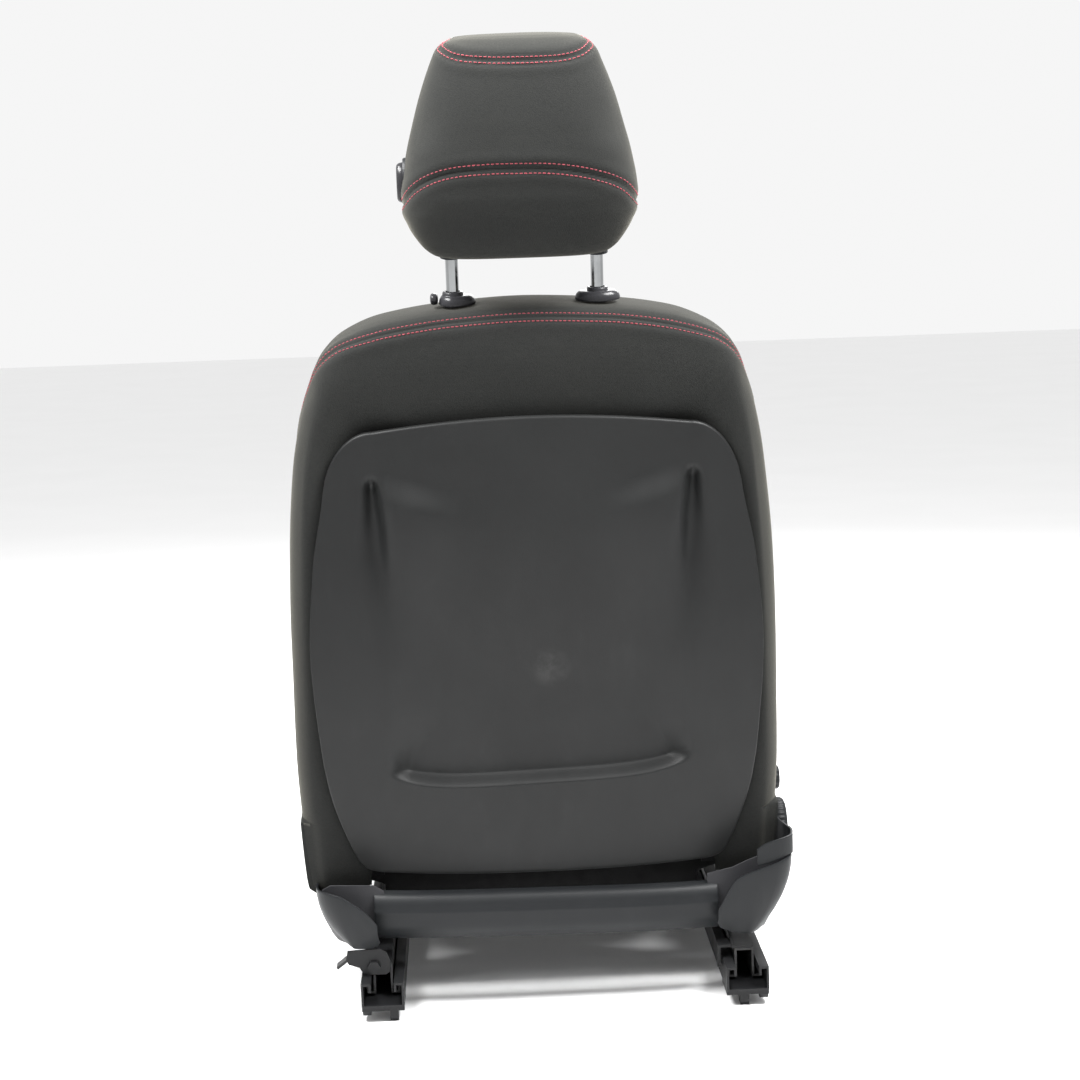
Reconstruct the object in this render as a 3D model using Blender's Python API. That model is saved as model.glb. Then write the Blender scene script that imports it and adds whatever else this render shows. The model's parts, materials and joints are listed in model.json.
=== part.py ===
"""Front car seat with a sport trim: floor rails, height-adjusted cushion frame, reclining backrest and
a headrest on two posts.  Metres, +Z up, the occupant faces -Y and the seat's left side is +X."""

import math

import bmesh
import bpy
from mathutils import Vector

# ---------------------------------------------------------------- driving dimensions
MID_X = 0.0068  # the seat's middle plane: the outer shield reaches further out than the inner side
PIVOT_Y = 0.1714  # recline axis, behind the middle of the whole depth
PIVOT_Z = 0.179
BACK_DATUM = -0.012  # heights along the backrest are measured from this far below the recline axis
RECLINE = math.radians(9.0)  # lean of the backrest at rest

RAIL_X = {"left": 0.188, "right": -0.224}
SIDE = {"left": 1.0, "right": -1.0}
RAIL_REAR, RAIL_FRONT = 0.110, -0.470
CARRIAGE_REAR, CARRIAGE_FRONT = 0.078, -0.345
RAIL_BASE = 0.018
LONG_TONGUE = {"left": 0.012, "right": 0.0035}  # inward from the rail's middle

LINK_LENGTH = 0.070
LINK_ANGLE = math.radians(20.0)
LINK_X = 0.205
LINK_THICK = 0.005
REAR_LINK_Y, FRONT_LINK_Y = -0.050, -0.325
LINK_LOW_Z = 0.074
LINK_DY = LINK_LENGTH * math.cos(LINK_ANGLE)
LINK_DZ = LINK_LENGTH * math.sin(LINK_ANGLE)
LINK_HIGH_Z = LINK_LOW_Z + LINK_DZ

PLATE_IN, PLATE_OUT = 0.219, 0.222  # cushion side plates
FRAME_HALF_T = 0.022  # half depth of the backrest side members
MEMBER_OUT = 0.205
BACK_TOP = 0.640

POST_X, POST_T, POST_R = 0.0780, 0.004, 0.0068
LUMBAR_T, LUMBAR_S = -0.048, 0.052  # lumbar knob's axis
CROSSBAR_S = 0.750
BUTTON_T, BUTTON_S = 0.012, 0.034  # middle of the headrest's button, from its tilt axis
HEAD_SHIFT = 0.003  # the padded body stands a little to the button's side
LEVER_Y, LEVER_Z = -0.200, 0.126  # height lever's axis
GAP = 0.0003  # touching meshes stay this far apart

# half width of the backrest at heights along it
FLANK = ((0.020, 0.264), (0.060, 0.270), (0.123, 0.273), (0.241, 0.272), (0.375, 0.267), (0.467, 0.258),
         (0.522, 0.247), (0.562, 0.234))
# rear panel: half width, and how far its middle stands behind the recline axis
PANEL_WIDTH = ((-0.004, 0.203), (0.033, 0.218), (0.086, 0.233), (0.155, 0.244), (0.263, 0.250), (0.366, 0.242),
               (0.443, 0.228), (0.525, 0.219))
PANEL_DEPTH = ((0.0, 0.062), (0.060, 0.070), (0.150, 0.076), (0.250, 0.078), (0.400, 0.071), (0.525, 0.058))
PANEL_THICK = 0.003
APRON_SKEW = 0.0025  # the rear apron hangs lower on the outer side by twice this
RECESS_DEPTH = 0.019


def between(table, at):
    """The value of a table at one place, on straight lines between its points."""
    if at <= table[0][0]:
        return table[0][1]
    for (a, va), (b, vb) in zip(table, table[1:]):
        if at <= b:
            return va + (vb - va) * (at - a) / (b - a)
    return table[-1][1]


def smooth(low, high, at):
    """0 below low, 1 above high, and an S curve in between."""
    share = min(1.0, max(0.0, (at - low) / (high - low)))
    return share * share * (3.0 - 2.0 * share)


# ---------------------------------------------------------------- scene and materials
for old in list(bpy.data.objects):
    bpy.data.objects.remove(old)


def material(name, colour, roughness, metallic=0.0):
    made = bpy.data.materials.new(name)
    made.use_nodes = True
    shader = made.node_tree.nodes["Principled BSDF"]
    shader.inputs["Base Color"].default_value = (*colour, 1.0)
    shader.inputs["Roughness"].default_value = roughness
    shader.inputs["Metallic"].default_value = metallic
    return made


FABRIC = material("seat_fabric", (0.030, 0.031, 0.031), 0.95)
TRIM = material("trim_plastic", (0.045, 0.046, 0.048), 0.55)
PANEL = material("panel_plastic", (0.042, 0.043, 0.044), 0.50)
BLACK_STEEL = material("black_steel", (0.018, 0.018, 0.020), 0.45, 0.6)
ZINC = material("zinc_steel", (0.42, 0.43, 0.44), 0.40, 0.9)
CHROME = material("chrome", (0.72, 0.73, 0.74), 0.12, 1.0)
CORE = material("core_plastic", (0.030, 0.030, 0.032), 0.60)


# ---------------------------------------------------------------- builders
def empty(name, location, parent=None, lean=0.0):
    made = bpy.data.objects.new(name, None)
    bpy.context.scene.collection.objects.link(made)
    made.parent = parent
    made.location = location
    made.rotation_euler = (lean, 0.0, 0.0)
    return made


def finish(name, bm, finish_material, parent, round_from=35.0):
    bmesh.ops.recalc_face_normals(bm, faces=bm.faces)
    mesh = bpy.data.meshes.new(name)
    bm.to_mesh(mesh)
    bm.free()
    mesh.shade_smooth()
    mesh.set_sharp_from_angle(angle=math.radians(round_from))
    mesh.materials.append(finish_material)
    made = bpy.data.objects.new(name, mesh)
    bpy.context.scene.collection.objects.link(made)
    made.parent = parent
    return made


def loft(name, rings, finish_material, parent, round_from=35.0):
    """A closed body through rings of equal point counts, with flat ends."""
    bm = bmesh.new()
    loops = [[bm.verts.new(point) for point in ring] for ring in rings]
    for lower, upper in zip(loops, loops[1:]):
        for i, start in enumerate(lower):
            j = (i + 1) % len(lower)
            bm.faces.new((start, lower[j], upper[j], upper[i]))
    bm.faces.new(loops[0])
    bm.faces.new(loops[-1])
    return finish(name, bm, finish_material, parent, round_from)


def prism(name, outline, axis, low, high, finish_material, parent, round_from=35.0):
    """An outline pushed along X, Y or Z.  It is given in the other two axes, in X, Y, Z order."""
    place = {
        "X": lambda a, b, c: (c, a, b),
        "Y": lambda a, b, c: (a, c, b),
        "Z": lambda a, b, c: (a, b, c),
    }[axis]
    rings = [[place(a, b, level) for a, b in outline] for level in (low, high)]
    return loft(name, rings, finish_material, parent, round_from)


def circle(a, b, radius, sides, start=0.0):
    steps = [start + 2.0 * math.pi * i / sides for i in range(sides)]
    return [(a + radius * math.cos(step), b + radius * math.sin(step)) for step in steps]


def arc(a, b, radius, first, last, steps):
    """Points of an arc from one angle to another, in degrees."""
    angles = [math.radians(first + (last - first) * i / steps) for i in range(steps + 1)]
    return [(a + radius * math.cos(angle), b + radius * math.sin(angle)) for angle in angles]


def rod(name, axis, a, b, radius, low, high, finish_material, parent, sides=20):
    return prism(name, circle(a, b, radius, sides), axis, low, high, finish_material, parent)


def box(name, low, high, finish_material, parent):
    outline = [(low[0], low[1]), (high[0], low[1]), (high[0], high[1]), (low[0], high[1])]
    return prism(name, outline, "Z", low[2], high[2], finish_material, parent)


def boolean(target, other, operation):
    """Joins another shape to the target, or cuts it away, and keeps the helper out of the model."""
    step = target.modifiers.new(operation.lower(), "BOOLEAN")
    step.operation = operation
    step.object = other
    step.solver = "EXACT"
    other.hide_render = True
    other.display_type = "WIRE"
    return target


def cut(target, *cutters):
    for cutter in cutters:
        boolean(target, cutter, "DIFFERENCE")
    return target


def join(target, *others):
    for other in others:
        boolean(target, other, "UNION")
    return target


def filleted(points, radius, steps=5):
    """A polyline with its inner corners rounded."""
    points = [Vector(point) for point in points]
    made = [points[0]]
    for before, corner, after in zip(points, points[1:], points[2:]):
        back, ahead = (before - corner).normalized(), (after - corner).normalized()
        reach = min(radius, (before - corner).length * 0.49, (after - corner).length * 0.49)
        for i in range(steps + 1):
            share = i / steps
            start, end = corner + back * reach, corner + ahead * reach
            made.append(start.lerp(corner, share).lerp(corner.lerp(end, share), share))
    made.append(points[-1])
    return made


def tube(name, points, radius, finish_material, parent, resolution=3):
    curve = bpy.data.curves.new(name, "CURVE")
    curve.dimensions = "3D"
    curve.bevel_depth = radius
    curve.bevel_resolution = resolution
    curve.use_fill_caps = True
    spline = curve.splines.new("POLY")
    spline.points.add(len(points) - 1)
    for slot, point in zip(spline.points, points):
        slot.co = (*point, 1.0)
    curve.materials.append(finish_material)
    made = bpy.data.objects.new(name, curve)
    bpy.context.scene.collection.objects.link(made)
    made.parent = parent
    return made


def sheet(name, rows, thickness, finish_material, parent):
    """A pressed or moulded sheet over a grid of points, thickened on the side away from its faces' normals."""
    bm = bmesh.new()
    grid = [[bm.verts.new(point) for point in row] for row in rows]
    for lower, upper in zip(grid, grid[1:]):
        for i in range(len(lower) - 1):
            bm.faces.new((lower[i], lower[i + 1], upper[i + 1], upper[i]))
    mesh = bpy.data.meshes.new(name)
    bm.to_mesh(mesh)
    bm.free()
    mesh.shade_smooth()
    mesh.set_sharp_from_angle(angle=math.radians(40.0))
    mesh.materials.append(finish_material)
    made = bpy.data.objects.new(name, mesh)
    bpy.context.scene.collection.objects.link(made)
    made.parent = parent
    shell = made.modifiers.new("shell", "SOLIDIFY")
    shell.thickness = thickness
    shell.offset = -1.0
    return made


# ---------------------------------------------------------------- axes
seat = empty("seat_datum", (MID_X, PIVOT_Y, 0.0))
recline = empty("recline_axis", (0.0, 0.0, PIVOT_Z), seat, -RECLINE)
back = empty("backrest_datum", (0.0, 0.0, BACK_DATUM), recline)
rear_axis = empty("rear_link_axis", (0.0, REAR_LINK_Y, LINK_LOW_Z), seat)
front_axis = empty("front_link_axis", (0.0, FRONT_LINK_Y, LINK_LOW_Z), seat)
head = empty("headrest_tilt_axis", (0.0, POST_T, CROSSBAR_S), back)


# ---------------------------------------------------------------- floor rails
def lower_rail(side):
    """Channel with lips turned in over the carriage."""
    x = RAIL_X[side]
    half = [(0.024, 0.018), (0.024, 0.046), (0.013, 0.046), (0.013, 0.036), (0.0155, 0.036), (0.0155, 0.0435),
            (0.0215, 0.0435), (0.0215, 0.0205)]
    outline = [(x + a, b) for a, b in half] + [(x - a, b) for a, b in reversed(half)]
    prism("lower_rail_" + side, outline, "Y", RAIL_FRONT, RAIL_REAR, BLACK_STEEL, seat)


def front_foot(side):
    """Stepped strap under the rail's front end, with a bolt hole through its toe."""
    x = RAIL_X[side]
    top = RAIL_BASE - GAP
    outline = [(0.070, top), (0.004, top), (-0.012, 0.004), (-0.050, 0.004), (-0.050, 0.0), (-0.008, 0.0),
               (0.008, top - 0.004), (0.070, top - 0.004)]
    foot = prism("front_foot_" + side, [(RAIL_FRONT + y, z) for y, z in outline], "X", x - 0.022, x + 0.022,
                 BLACK_STEEL, seat)
    hole = rod("front_bolt_hole_" + side, "Z", x, RAIL_FRONT - 0.031, 0.0055, -0.010, 0.012, BLACK_STEEL, seat, 12)
    cut(foot, hole)


def rear_hook(side):
    """Shoe under the rail's rear end: a floor plate and two locating tongues of unequal length."""
    x, inward = RAIL_X[side], -SIDE[side]
    shoe = box("rear_hook_" + side, (x - 0.024, 0.062, 0.0135), (x + 0.024, 0.108, RAIL_BASE - GAP), BLACK_STEEL,
               seat)
    for name, offset, bottom in (("long", LONG_TONGUE[side], 0.0), ("short", -0.0185, 0.007)):
        centre = x + inward * offset
        half = 0.0048
        profile = [(0.084, 0.016), (0.084, bottom + 0.004), (0.088, bottom), (0.102, bottom),
                   (0.106, bottom + 0.005), (0.106, 0.016)]
        tongue = prism(f"{name}_tongue_{side}", profile, "X", centre - half, centre + half, BLACK_STEEL, seat)
        join(shoe, tongue)


# ---------------------------------------------------------------- carriage
def upper_rail(side):
    """Hat section whose feet run under the lower rail's lips."""
    x = RAIL_X[side]
    half = [(0.011, 0.058), (0.011, 0.0265), (0.0165, 0.0265), (0.0165, 0.033), (0.019, 0.033), (0.019, 0.024),
            (0.0085, 0.024), (0.0085, 0.0555)]
    outline = [(x + a, b) for a, b in half] + [(x - a, b) for a, b in reversed(half)]
    prism("upper_rail_" + side, outline, "Y", CARRIAGE_FRONT, CARRIAGE_REAR, ZINC, seat)


def hanging_ear(base):
    """Round-ended ear that hangs inside the right rail for the wiring loom, and the tab it is bent from."""
    tab = box("loom_ear_tab", (-0.2114, 0.050, base), (-0.1946, 0.074, base + 0.003), BLACK_STEEL, seat)
    outline = [(0.050, base + 0.003), (0.074, base + 0.003)] + arc(0.062, 0.044, 0.012, 0, -180, 8)
    return tab, prism("loom_ear", outline, "X", -0.1976, -0.1946, BLACK_STEEL, seat)


def rail_bracket(side):
    """Riveted angle along the carriage, with an ear at each link pivot."""
    if side == "left":
        web, flange = (0.198, 0.201), (0.178, 0.201)
    else:
        web, flange = (-0.213, -0.210), (-0.234, -0.210)
    base = 0.058 + GAP
    outline = [(CARRIAGE_FRONT, base)]
    outline += [(FRONT_LINK_Y - 0.020, 0.066)]
    outline += arc(FRONT_LINK_Y, LINK_LOW_Z, 0.016, 170, 10, 6)
    outline += [(FRONT_LINK_Y + 0.034, 0.066), (REAR_LINK_Y - 0.040, 0.066)]
    outline += arc(REAR_LINK_Y, LINK_LOW_Z, 0.016, 170, 10, 6)
    outline += [(REAR_LINK_Y + 0.020, 0.066), (0.060, 0.065), (CARRIAGE_REAR, base)]
    bracket = prism("rail_bracket_" + side, outline, "X", web[0], web[1], BLACK_STEEL, seat)
    foot = box("bracket_flange_" + side, (flange[0], CARRIAGE_FRONT, base), (flange[1], CARRIAGE_REAR, base + 0.003),
               BLACK_STEEL, seat)
    join(bracket, foot)
    if side == "right":
        join(bracket, *hanging_ear(base))
    for place, y in (("front", FRONT_LINK_Y), ("rear", REAR_LINK_Y)):
        hole = rod(f"{place}_pivot_hole_{side}", "X", y, LINK_LOW_Z, 0.0066, web[0] - 0.004, web[1] + 0.004,
                   BLACK_STEEL, seat, 16)
        cut(bracket, hole)


def harness_bracket():
    """Small cranked tab outside the left carriage rail that carries the wiring plug."""
    outline = [(0.2014, 0.0620), (0.2270, 0.0620), (0.2390, 0.0530), (0.2405, 0.0558), (0.2280, 0.0652),
               (0.2014, 0.0652)]
    prism("harness_bracket", outline, "Y", CARRIAGE_REAR - 0.018, CARRIAGE_REAR - 0.002, ZINC, seat)


def buckle_anchor():
    """Lobed plate across the rear of the left carriage rail, with the bolt that holds the belt buckle's stalk."""
    outline = [(0.1800, 0.0500), (0.1840, 0.0472), (0.2050, 0.0472), (0.2105, 0.0500), (0.2140, 0.0560),
               (0.2260, 0.0600), (0.2290, 0.0660), (0.2270, 0.0760), (0.1900, 0.0770), (0.1830, 0.0730),
               (0.1790, 0.0620)]
    start = CARRIAGE_REAR + GAP
    plate = prism("buckle_anchor", outline, "Y", start, start + 0.003, BLACK_STEEL, seat)
    head = rod("anchor_bolt_head", "Y", 0.1975, 0.0570, 0.0075, start + 0.002, start + 0.0085, BLACK_STEEL, seat, 6)
    join(plate, head)


def track_latch(side):
    """Toothed lock block inside the carriage rail."""
    x = RAIL_X[side]
    low, high, tooth = 0.0300, 0.0450, 0.0040
    outline = [(-0.130, high), (-0.130, low + tooth)]
    for i in range(5):
        start = -0.127 + 0.013 * i
        outline += [(start, low + tooth), (start + 0.002, low), (start + 0.006, low), (start + 0.008, low + tooth)]
    outline += [(-0.060, low + tooth), (-0.060, high)]
    prism("track_latch_" + side, outline, "X", x - 0.0065, x + 0.0065, ZINC, seat)


def release_bar():
    """Bent bar: one arm in each carriage rail, and a handle across the front."""
    left, right = RAIL_X["left"], RAIL_X["right"]

    def arm(x, inward):
        return [(x, -0.1305, 0.0375), (x, -0.200, 0.0320), (x, -0.455, 0.0320), (x, -0.492, 0.066),
                (x + inward * 0.030, -0.516, 0.078)]

    path = arm(left, -1.0) + list(reversed(arm(right, 1.0)))
    tube("track_release_bar", filleted(path, 0.020, 4), 0.005, BLACK_STEEL, seat, 2)


# ---------------------------------------------------------------- height linkage
def link(name, parent, side, stub_radius):
    """Flat link with one pin into the rail bracket and one out through the cushion's side plate."""
    sign = SIDE[side]
    inner, outer = LINK_X - LINK_THICK / 2, LINK_X + LINK_THICK / 2
    outline = arc(0.0, 0.0, 0.0145, 110, 290, 8) + arc(LINK_DY, LINK_DZ, 0.0155, -70, 110, 8)
    low, high = sorted((sign * inner, sign * outer))
    plate = prism(name, outline, "X", low, high, BLACK_STEEL, parent)
    bracket_side = (0.196, 0.204) if side == "left" else (-0.216, -0.206)
    pin = rod(name + "_low_pin", "X", 0.0, 0.0, 0.006, *bracket_side, ZINC, parent, 14)
    ends = sorted((sign * (outer - 0.001), sign * 0.2265))
    stub = rod(name + "_high_pin", "X", LINK_DY, LINK_DZ, stub_radius, *ends, ZINC, parent, 16)
    join(plate, pin, stub)


def link_tube(name, parent, radius):
    reach = LINK_X - LINK_THICK / 2 - GAP
    rod(name, "X", LINK_DY, LINK_DZ, radius, -reach, reach, BLACK_STEEL, parent, 18)


# ---------------------------------------------------------------- cushion frame
def cushion_side(side):
    """Pressed side plate, with a round ear for the recliner at its rear end."""
    outline = [(-0.482, 0.132), (-0.455, 0.104), (-0.300, 0.084), (0.000, 0.080), (0.022, 0.080), (0.032, 0.088),
               (0.032, 0.104), (0.022, 0.114), (-0.006, 0.118), (-0.006, 0.1430)]
    outline += arc(0.0, PIVOT_Z, 0.036, -97, 190, 16)
    outline += [(-0.072, 0.148), (-0.240, 0.144), (-0.450, 0.158), (-0.480, 0.150)]
    low, high = sorted((SIDE[side] * PLATE_IN, SIDE[side] * PLATE_OUT))
    plate = prism("cushion_side_" + side, outline, "X", low, high, BLACK_STEEL, seat)
    holes = ((REAR_LINK_Y + LINK_DY, LINK_HIGH_Z, 0.0096), (FRONT_LINK_Y + LINK_DY, LINK_HIGH_Z, 0.0088),
             (0.0, PIVOT_Z, 0.0090))
    for i, (y, z, radius) in enumerate(holes):
        cut(plate, rod(f"side_hole_{i}_{side}", "X", y, z, radius, low - 0.005, high + 0.005, BLACK_STEEL, seat, 18))


def seat_pan():
    """Pressed pan that carries the thighs, with a rolled front edge."""
    top = [(-0.486, 0.146), (-0.490, 0.154), (-0.482, 0.1610), (-0.450, 0.1625), (-0.340, 0.1590), (-0.210, 0.1480),
           (-0.196, 0.1400)]
    under = [(y + 0.0004, z - 0.0026) for y, z in reversed(top[2:])] + [(-0.4872, 0.1530), (-0.4835, 0.1465)]
    half = PLATE_IN - GAP
    prism("seat_pan", top + under, "X", -half, half, BLACK_STEEL, seat)


def rear_crossmember():
    half = PLATE_IN - GAP
    rod("rear_cross_tube", "X", -0.072, 0.128, 0.011, -half, half, BLACK_STEEL, seat, 18)


def wire_mat(name, parent, runs, rungs, radius):
    """Crossed spring wires joined where they meet."""
    wires = []
    for i, (start, end) in enumerate(runs + rungs):
        wire = tube(name if i == 0 else f"{name}_wire_{i}", [start, end], radius, ZINC, parent, 1)
        solid = bpy.data.meshes.new_from_object(wire)
        made = bpy.data.objects.new(wire.name + "_solid", solid)
        bpy.context.scene.collection.objects.link(made)
        made.parent = parent
        bpy.data.objects.remove(wire)
        wires.append(made)
    wires[0].name = name
    for wire in wires:
        bm = bmesh.new()
        bm.from_mesh(wire.data)
        bmesh.ops.remove_doubles(bm, verts=bm.verts, dist=0.00005)
        bmesh.ops.recalc_face_normals(bm, faces=bm.faces)
        bm.to_mesh(wire.data)
        bm.free()
    join(wires[0], *wires[1:])


def cushion_suspension():
    runs = [((x, -0.190, 0.1515), (x, -0.062, 0.1465)) for x in (-0.150, -0.050, 0.050, 0.150)]
    rungs = [((-0.165, y, z), (0.165, y, z)) for y, z in ((-0.170, 0.1507), (-0.125, 0.1490), (-0.080, 0.1472))]
    wire_mat("cushion_suspension", seat, runs, rungs, 0.0020)


# ---------------------------------------------------------------- cushion foam
def cushion_centre():
    """Middle pad: flat underneath, crowned on top, with a rounded front roll."""
    stations = ((-0.536, 0.205, 0.258), (-0.528, 0.182, 0.281), (-0.508, 0.168, 0.299), (-0.470, 0.1665, 0.307),
                (-0.380, 0.1665, 0.301), (-0.260, 0.1665, 0.285), (-0.140, 0.1665, 0.271), (-0.088, 0.1665, 0.266),
                (-0.079, 0.172, 0.256))
    rings = []
    for y, low, high in stations:
        half, soft = 0.1515, 0.010
        rings.append([(-half, y, low), (half, y, low), (half, y, high - soft), (half - 0.030, y, high - 0.002),
                      (0.0, y, high), (-half + 0.030, y, high - 0.002), (-half, y, high - soft)])
    loft("cushion_foam_centre", rings, FABRIC, seat)


def cushion_bolster(side):
    """Raised side roll of the cushion."""
    sign = SIDE[side]
    stations = ((-0.530, 0.200, 0.262, 0.246), (-0.516, 0.176, 0.292, 0.256), (-0.480, 0.1665, 0.314, 0.262),
                (-0.370, 0.1665, 0.324, 0.264), (-0.250, 0.1665, 0.319, 0.264), (-0.160, 0.1665, 0.302, 0.263),
                (-0.118, 0.1665, 0.284, 0.262), (-0.108, 0.176, 0.268, 0.256))
    inner = 0.1518
    rings = []
    for y, low, high, outer in stations:
        section = [(inner, low), (outer - 0.012, low), (outer, low + 0.016), (outer, high - 0.040),
                   (outer - 0.012, high - 0.014), (outer - 0.034, high), (outer - 0.060, high - 0.004),
                   (inner, min(high - 0.010, 0.290))]
        rings.append([(sign * x, y, z) for x, z in section])
    loft("cushion_bolster_" + side, rings, FABRIC, seat)


def rear_flap():
    """Felt flap that closes the cushion cover behind the rear cross tube."""
    outline = [(-0.1880, 0.0980), (0.1880, 0.0980), (0.1880, 0.1120), (0.2130, 0.1200), (0.2130, 0.1655),
               (-0.2130, 0.1655), (-0.2130, 0.1200), (-0.1880, 0.1120)]
    prism("cushion_rear_flap", outline, "Y", -0.0590, -0.0550, FABRIC, seat)


# ---------------------------------------------------------------- covers on the cushion frame
def shield_rows(plan, levels):
    """Rows of points up a side shield: each plan point has its own bottom, top and inward rake."""
    rows = []
    for level in range(levels + 1):
        share = level / levels
        row = []
        for x, y, low, high, rake, tuck in plan:
            z = low + (high - low) * share
            curve = (1.0 - share) ** 2
            row.append((x + rake * curve, y + tuck * curve, z))
        rows.append(row)
    return rows


OUTER_PLAN = (
    # x, y, bottom, top, inward rake and forward tuck of the bottom edge
    (-0.222, -0.496, 0.112, 0.158, 0.000, 0.004), (-0.244, -0.494, 0.104, 0.160, 0.004, 0.004),
    (-0.258, -0.480, 0.096, 0.162, 0.008, 0.002), (-0.262, -0.430, 0.090, 0.163, 0.010, 0.000),
    (-0.2625, -0.280, 0.083, 0.163, 0.010, 0.000), (-0.2625, -0.120, 0.079, 0.160, 0.010, 0.000),
    (-0.2620, -0.048, 0.077, 0.132, 0.009, 0.000), (-0.2620, 0.000, 0.076, 0.126, 0.009, 0.000),
    (-0.2640, 0.036, 0.077, 0.138, 0.012, 0.000), (-0.2755, 0.050, 0.077, 0.163, 0.026, 0.000),
    (-0.2800, 0.064, 0.077, 0.165, 0.038, -0.002), (-0.2760, 0.078, 0.077, 0.164, 0.040, -0.006),
    (-0.2620, 0.089, 0.077, 0.160, 0.032, -0.010), (-0.2400, 0.093, 0.078, 0.154, 0.018, -0.012),
    (-0.2180, 0.092, 0.080, 0.145, 0.008, -0.012), (-0.2060, 0.089, 0.090, 0.128, 0.002, -0.008),
)
INNER_PLAN = (
    (0.1920, 0.089, 0.086, 0.108, -0.002, -0.008), (0.2020, 0.092, 0.080, 0.122, -0.006, -0.012),
    (0.2180, 0.092, 0.079, 0.135, -0.010, -0.012), (0.2340, 0.089, 0.079, 0.144, -0.018, -0.010),
    (0.2480, 0.080, 0.080, 0.146, -0.028, -0.006), (0.2560, 0.066, 0.080, 0.145, -0.032, -0.002),
    (0.2590, 0.042, 0.079, 0.143, -0.022, 0.000), (0.2590, 0.000, 0.078, 0.146, -0.012, 0.000),
    (0.2590, -0.120, 0.079, 0.160, -0.008, 0.000), (0.2590, -0.280, 0.083, 0.163, -0.008, 0.000),
    (0.2580, -0.430, 0.090, 0.163, -0.008, 0.000), (0.2540, -0.480, 0.096, 0.162, -0.006, 0.002),
    (0.2420, -0.494, 0.104, 0.160, -0.003, 0.004), (0.2220, -0.496, 0.112, 0.158, 0.000, 0.004),
)


def side_shields():
    """Moulded covers that hide the linkage and wrap round behind the seat."""
    outer = sheet("outer_side_shield", shield_rows(OUTER_PLAN, 4), 0.0026, TRIM, seat)
    cut(outer, rod("lever_hole", "X", LEVER_Y, LEVER_Z, 0.0106, -0.290, -0.240, TRIM, seat, 16))
    fin = [(-0.2380, 0.0860), (-0.2520, 0.0920), (-0.2560, 0.0700), (-0.2600, 0.0330), (-0.2575, 0.0290),
           (-0.2540, 0.0500), (-0.2495, 0.0640), (-0.2380, 0.0680)]
    join(outer, prism("shield_fin", fin, "Y", 0.0735, 0.0765, TRIM, seat))
    sheet("inner_side_shield", shield_rows(INNER_PLAN, 4), 0.0026, TRIM, seat)


COVER_PLAN = (
    (-0.2640, -0.044, 0.140, 0.188, 0.000, 0.000), (-0.2660, -0.036, 0.134, 0.205, 0.000, 0.000),
    (-0.2662, -0.015, 0.132, 0.219, 0.000, 0.000), (-0.2662, 0.010, 0.132, 0.220, 0.000, 0.000),
    (-0.2662, 0.0335, 0.142, 0.208, 0.000, 0.000), (-0.2690, 0.0390, 0.154, 0.200, 0.000, 0.000),
    (-0.2770, 0.046, 0.1660, 0.192, 0.000, 0.000), (-0.2825, 0.058, 0.1680, 0.187, 0.000, 0.000),
    (-0.2810, 0.070, 0.1680, 0.184, 0.000, 0.000), (-0.2740, 0.078, 0.1670, 0.180, 0.000, 0.000),
    (-0.2640, 0.083, 0.1640, 0.174, 0.000, 0.000),
)


def recliner_cover():
    """Cover over the outer recliner, between the handwheel and the shield, wrapping behind the backrest."""
    cover = sheet("recliner_cover", shield_rows(COVER_PLAN, 3), 0.0024, TRIM, seat)
    cut(cover, rod("recliner_cover_hole", "X", 0.0, PIVOT_Z, 0.0095, -0.2780, -0.2540, TRIM, seat, 16))


def rear_apron():
    """Curved skirt behind the cushion frame."""
    profile = [(0.050, 0.0790), (0.064, 0.0800), (0.076, 0.0880), (0.0830, 0.1010), (0.0845, 0.1130),
               (0.0830, 0.1240), (0.0775, 0.1325), (0.066, 0.1360)]
    reach = 0.196
    rows = []
    for y, z in profile:
        row = []
        for share in (-1.0, -0.8, -0.4, 0.0, 0.4, 0.8, 1.0):
            row.append((reach * share - 0.001, y - 0.010 * share ** 4, z + APRON_SKEW * share))
        rows.append(row)
    sheet("rear_apron", rows[::-1], 0.0026, TRIM, seat)


def height_lever():
    """Pump lever on the outer shield."""
    y, z = LEVER_Y, LEVER_Z
    outline = arc(y, z, 0.021, -60, 100, 8)
    outline += [(y - 0.060, z + 0.019), (y - 0.128, z + 0.021), (y - 0.142, z + 0.014), (y - 0.142, z + 0.002),
                (y - 0.128, z - 0.004), (y - 0.060, z - 0.006), (y - 0.020, z - 0.017)]
    lever = prism("height_lever", outline, "X", -0.2800, -0.2655, TRIM, seat)
    boss = rod("height_lever_boss", "X", y, z, 0.010, -0.2670, -0.2230, TRIM, seat, 16)
    join(lever, boss)


# ---------------------------------------------------------------- recliner
def recliner_disc(side):
    low, high = sorted((SIDE[side] * (MEMBER_OUT + 0.002), SIDE[side] * (PLATE_IN - GAP)))
    disc = rod("recliner_disc_" + side, "X", 0.0, PIVOT_Z, 0.034, low, high, ZINC, seat, 24)
    cut(disc, rod("disc_hole_" + side, "X", 0.0, PIVOT_Z, 0.0075, low - 0.01, high + 0.01, ZINC, seat, 14))


def recliner_drive():
    rod("recliner_shaft", "X", 0.0, PIVOT_Z, 0.006, -0.2686, 0.2240, ZINC, seat, 14)
    outline = []
    lobes, radius = 12, 0.0335
    for i in range(lobes * 4):
        angle = 2.0 * math.pi * i / (lobes * 4)
        dent = 0.0016 if i % 4 == 0 else 0.0
        outline.append(((radius - dent) * math.cos(angle), PIVOT_Z + (radius - dent) * math.sin(angle)))
    inset = [(y * 0.86, PIVOT_Z + (z - PIVOT_Z) * 0.86) for y, z in outline]
    rings = [[(x, y, z) for y, z in ring] for x, ring in ((-0.2692, outline), (-0.2806, outline), (-0.2844, inset))]
    loft("recliner_handwheel", rings, TRIM, seat, 50.0)


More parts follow.
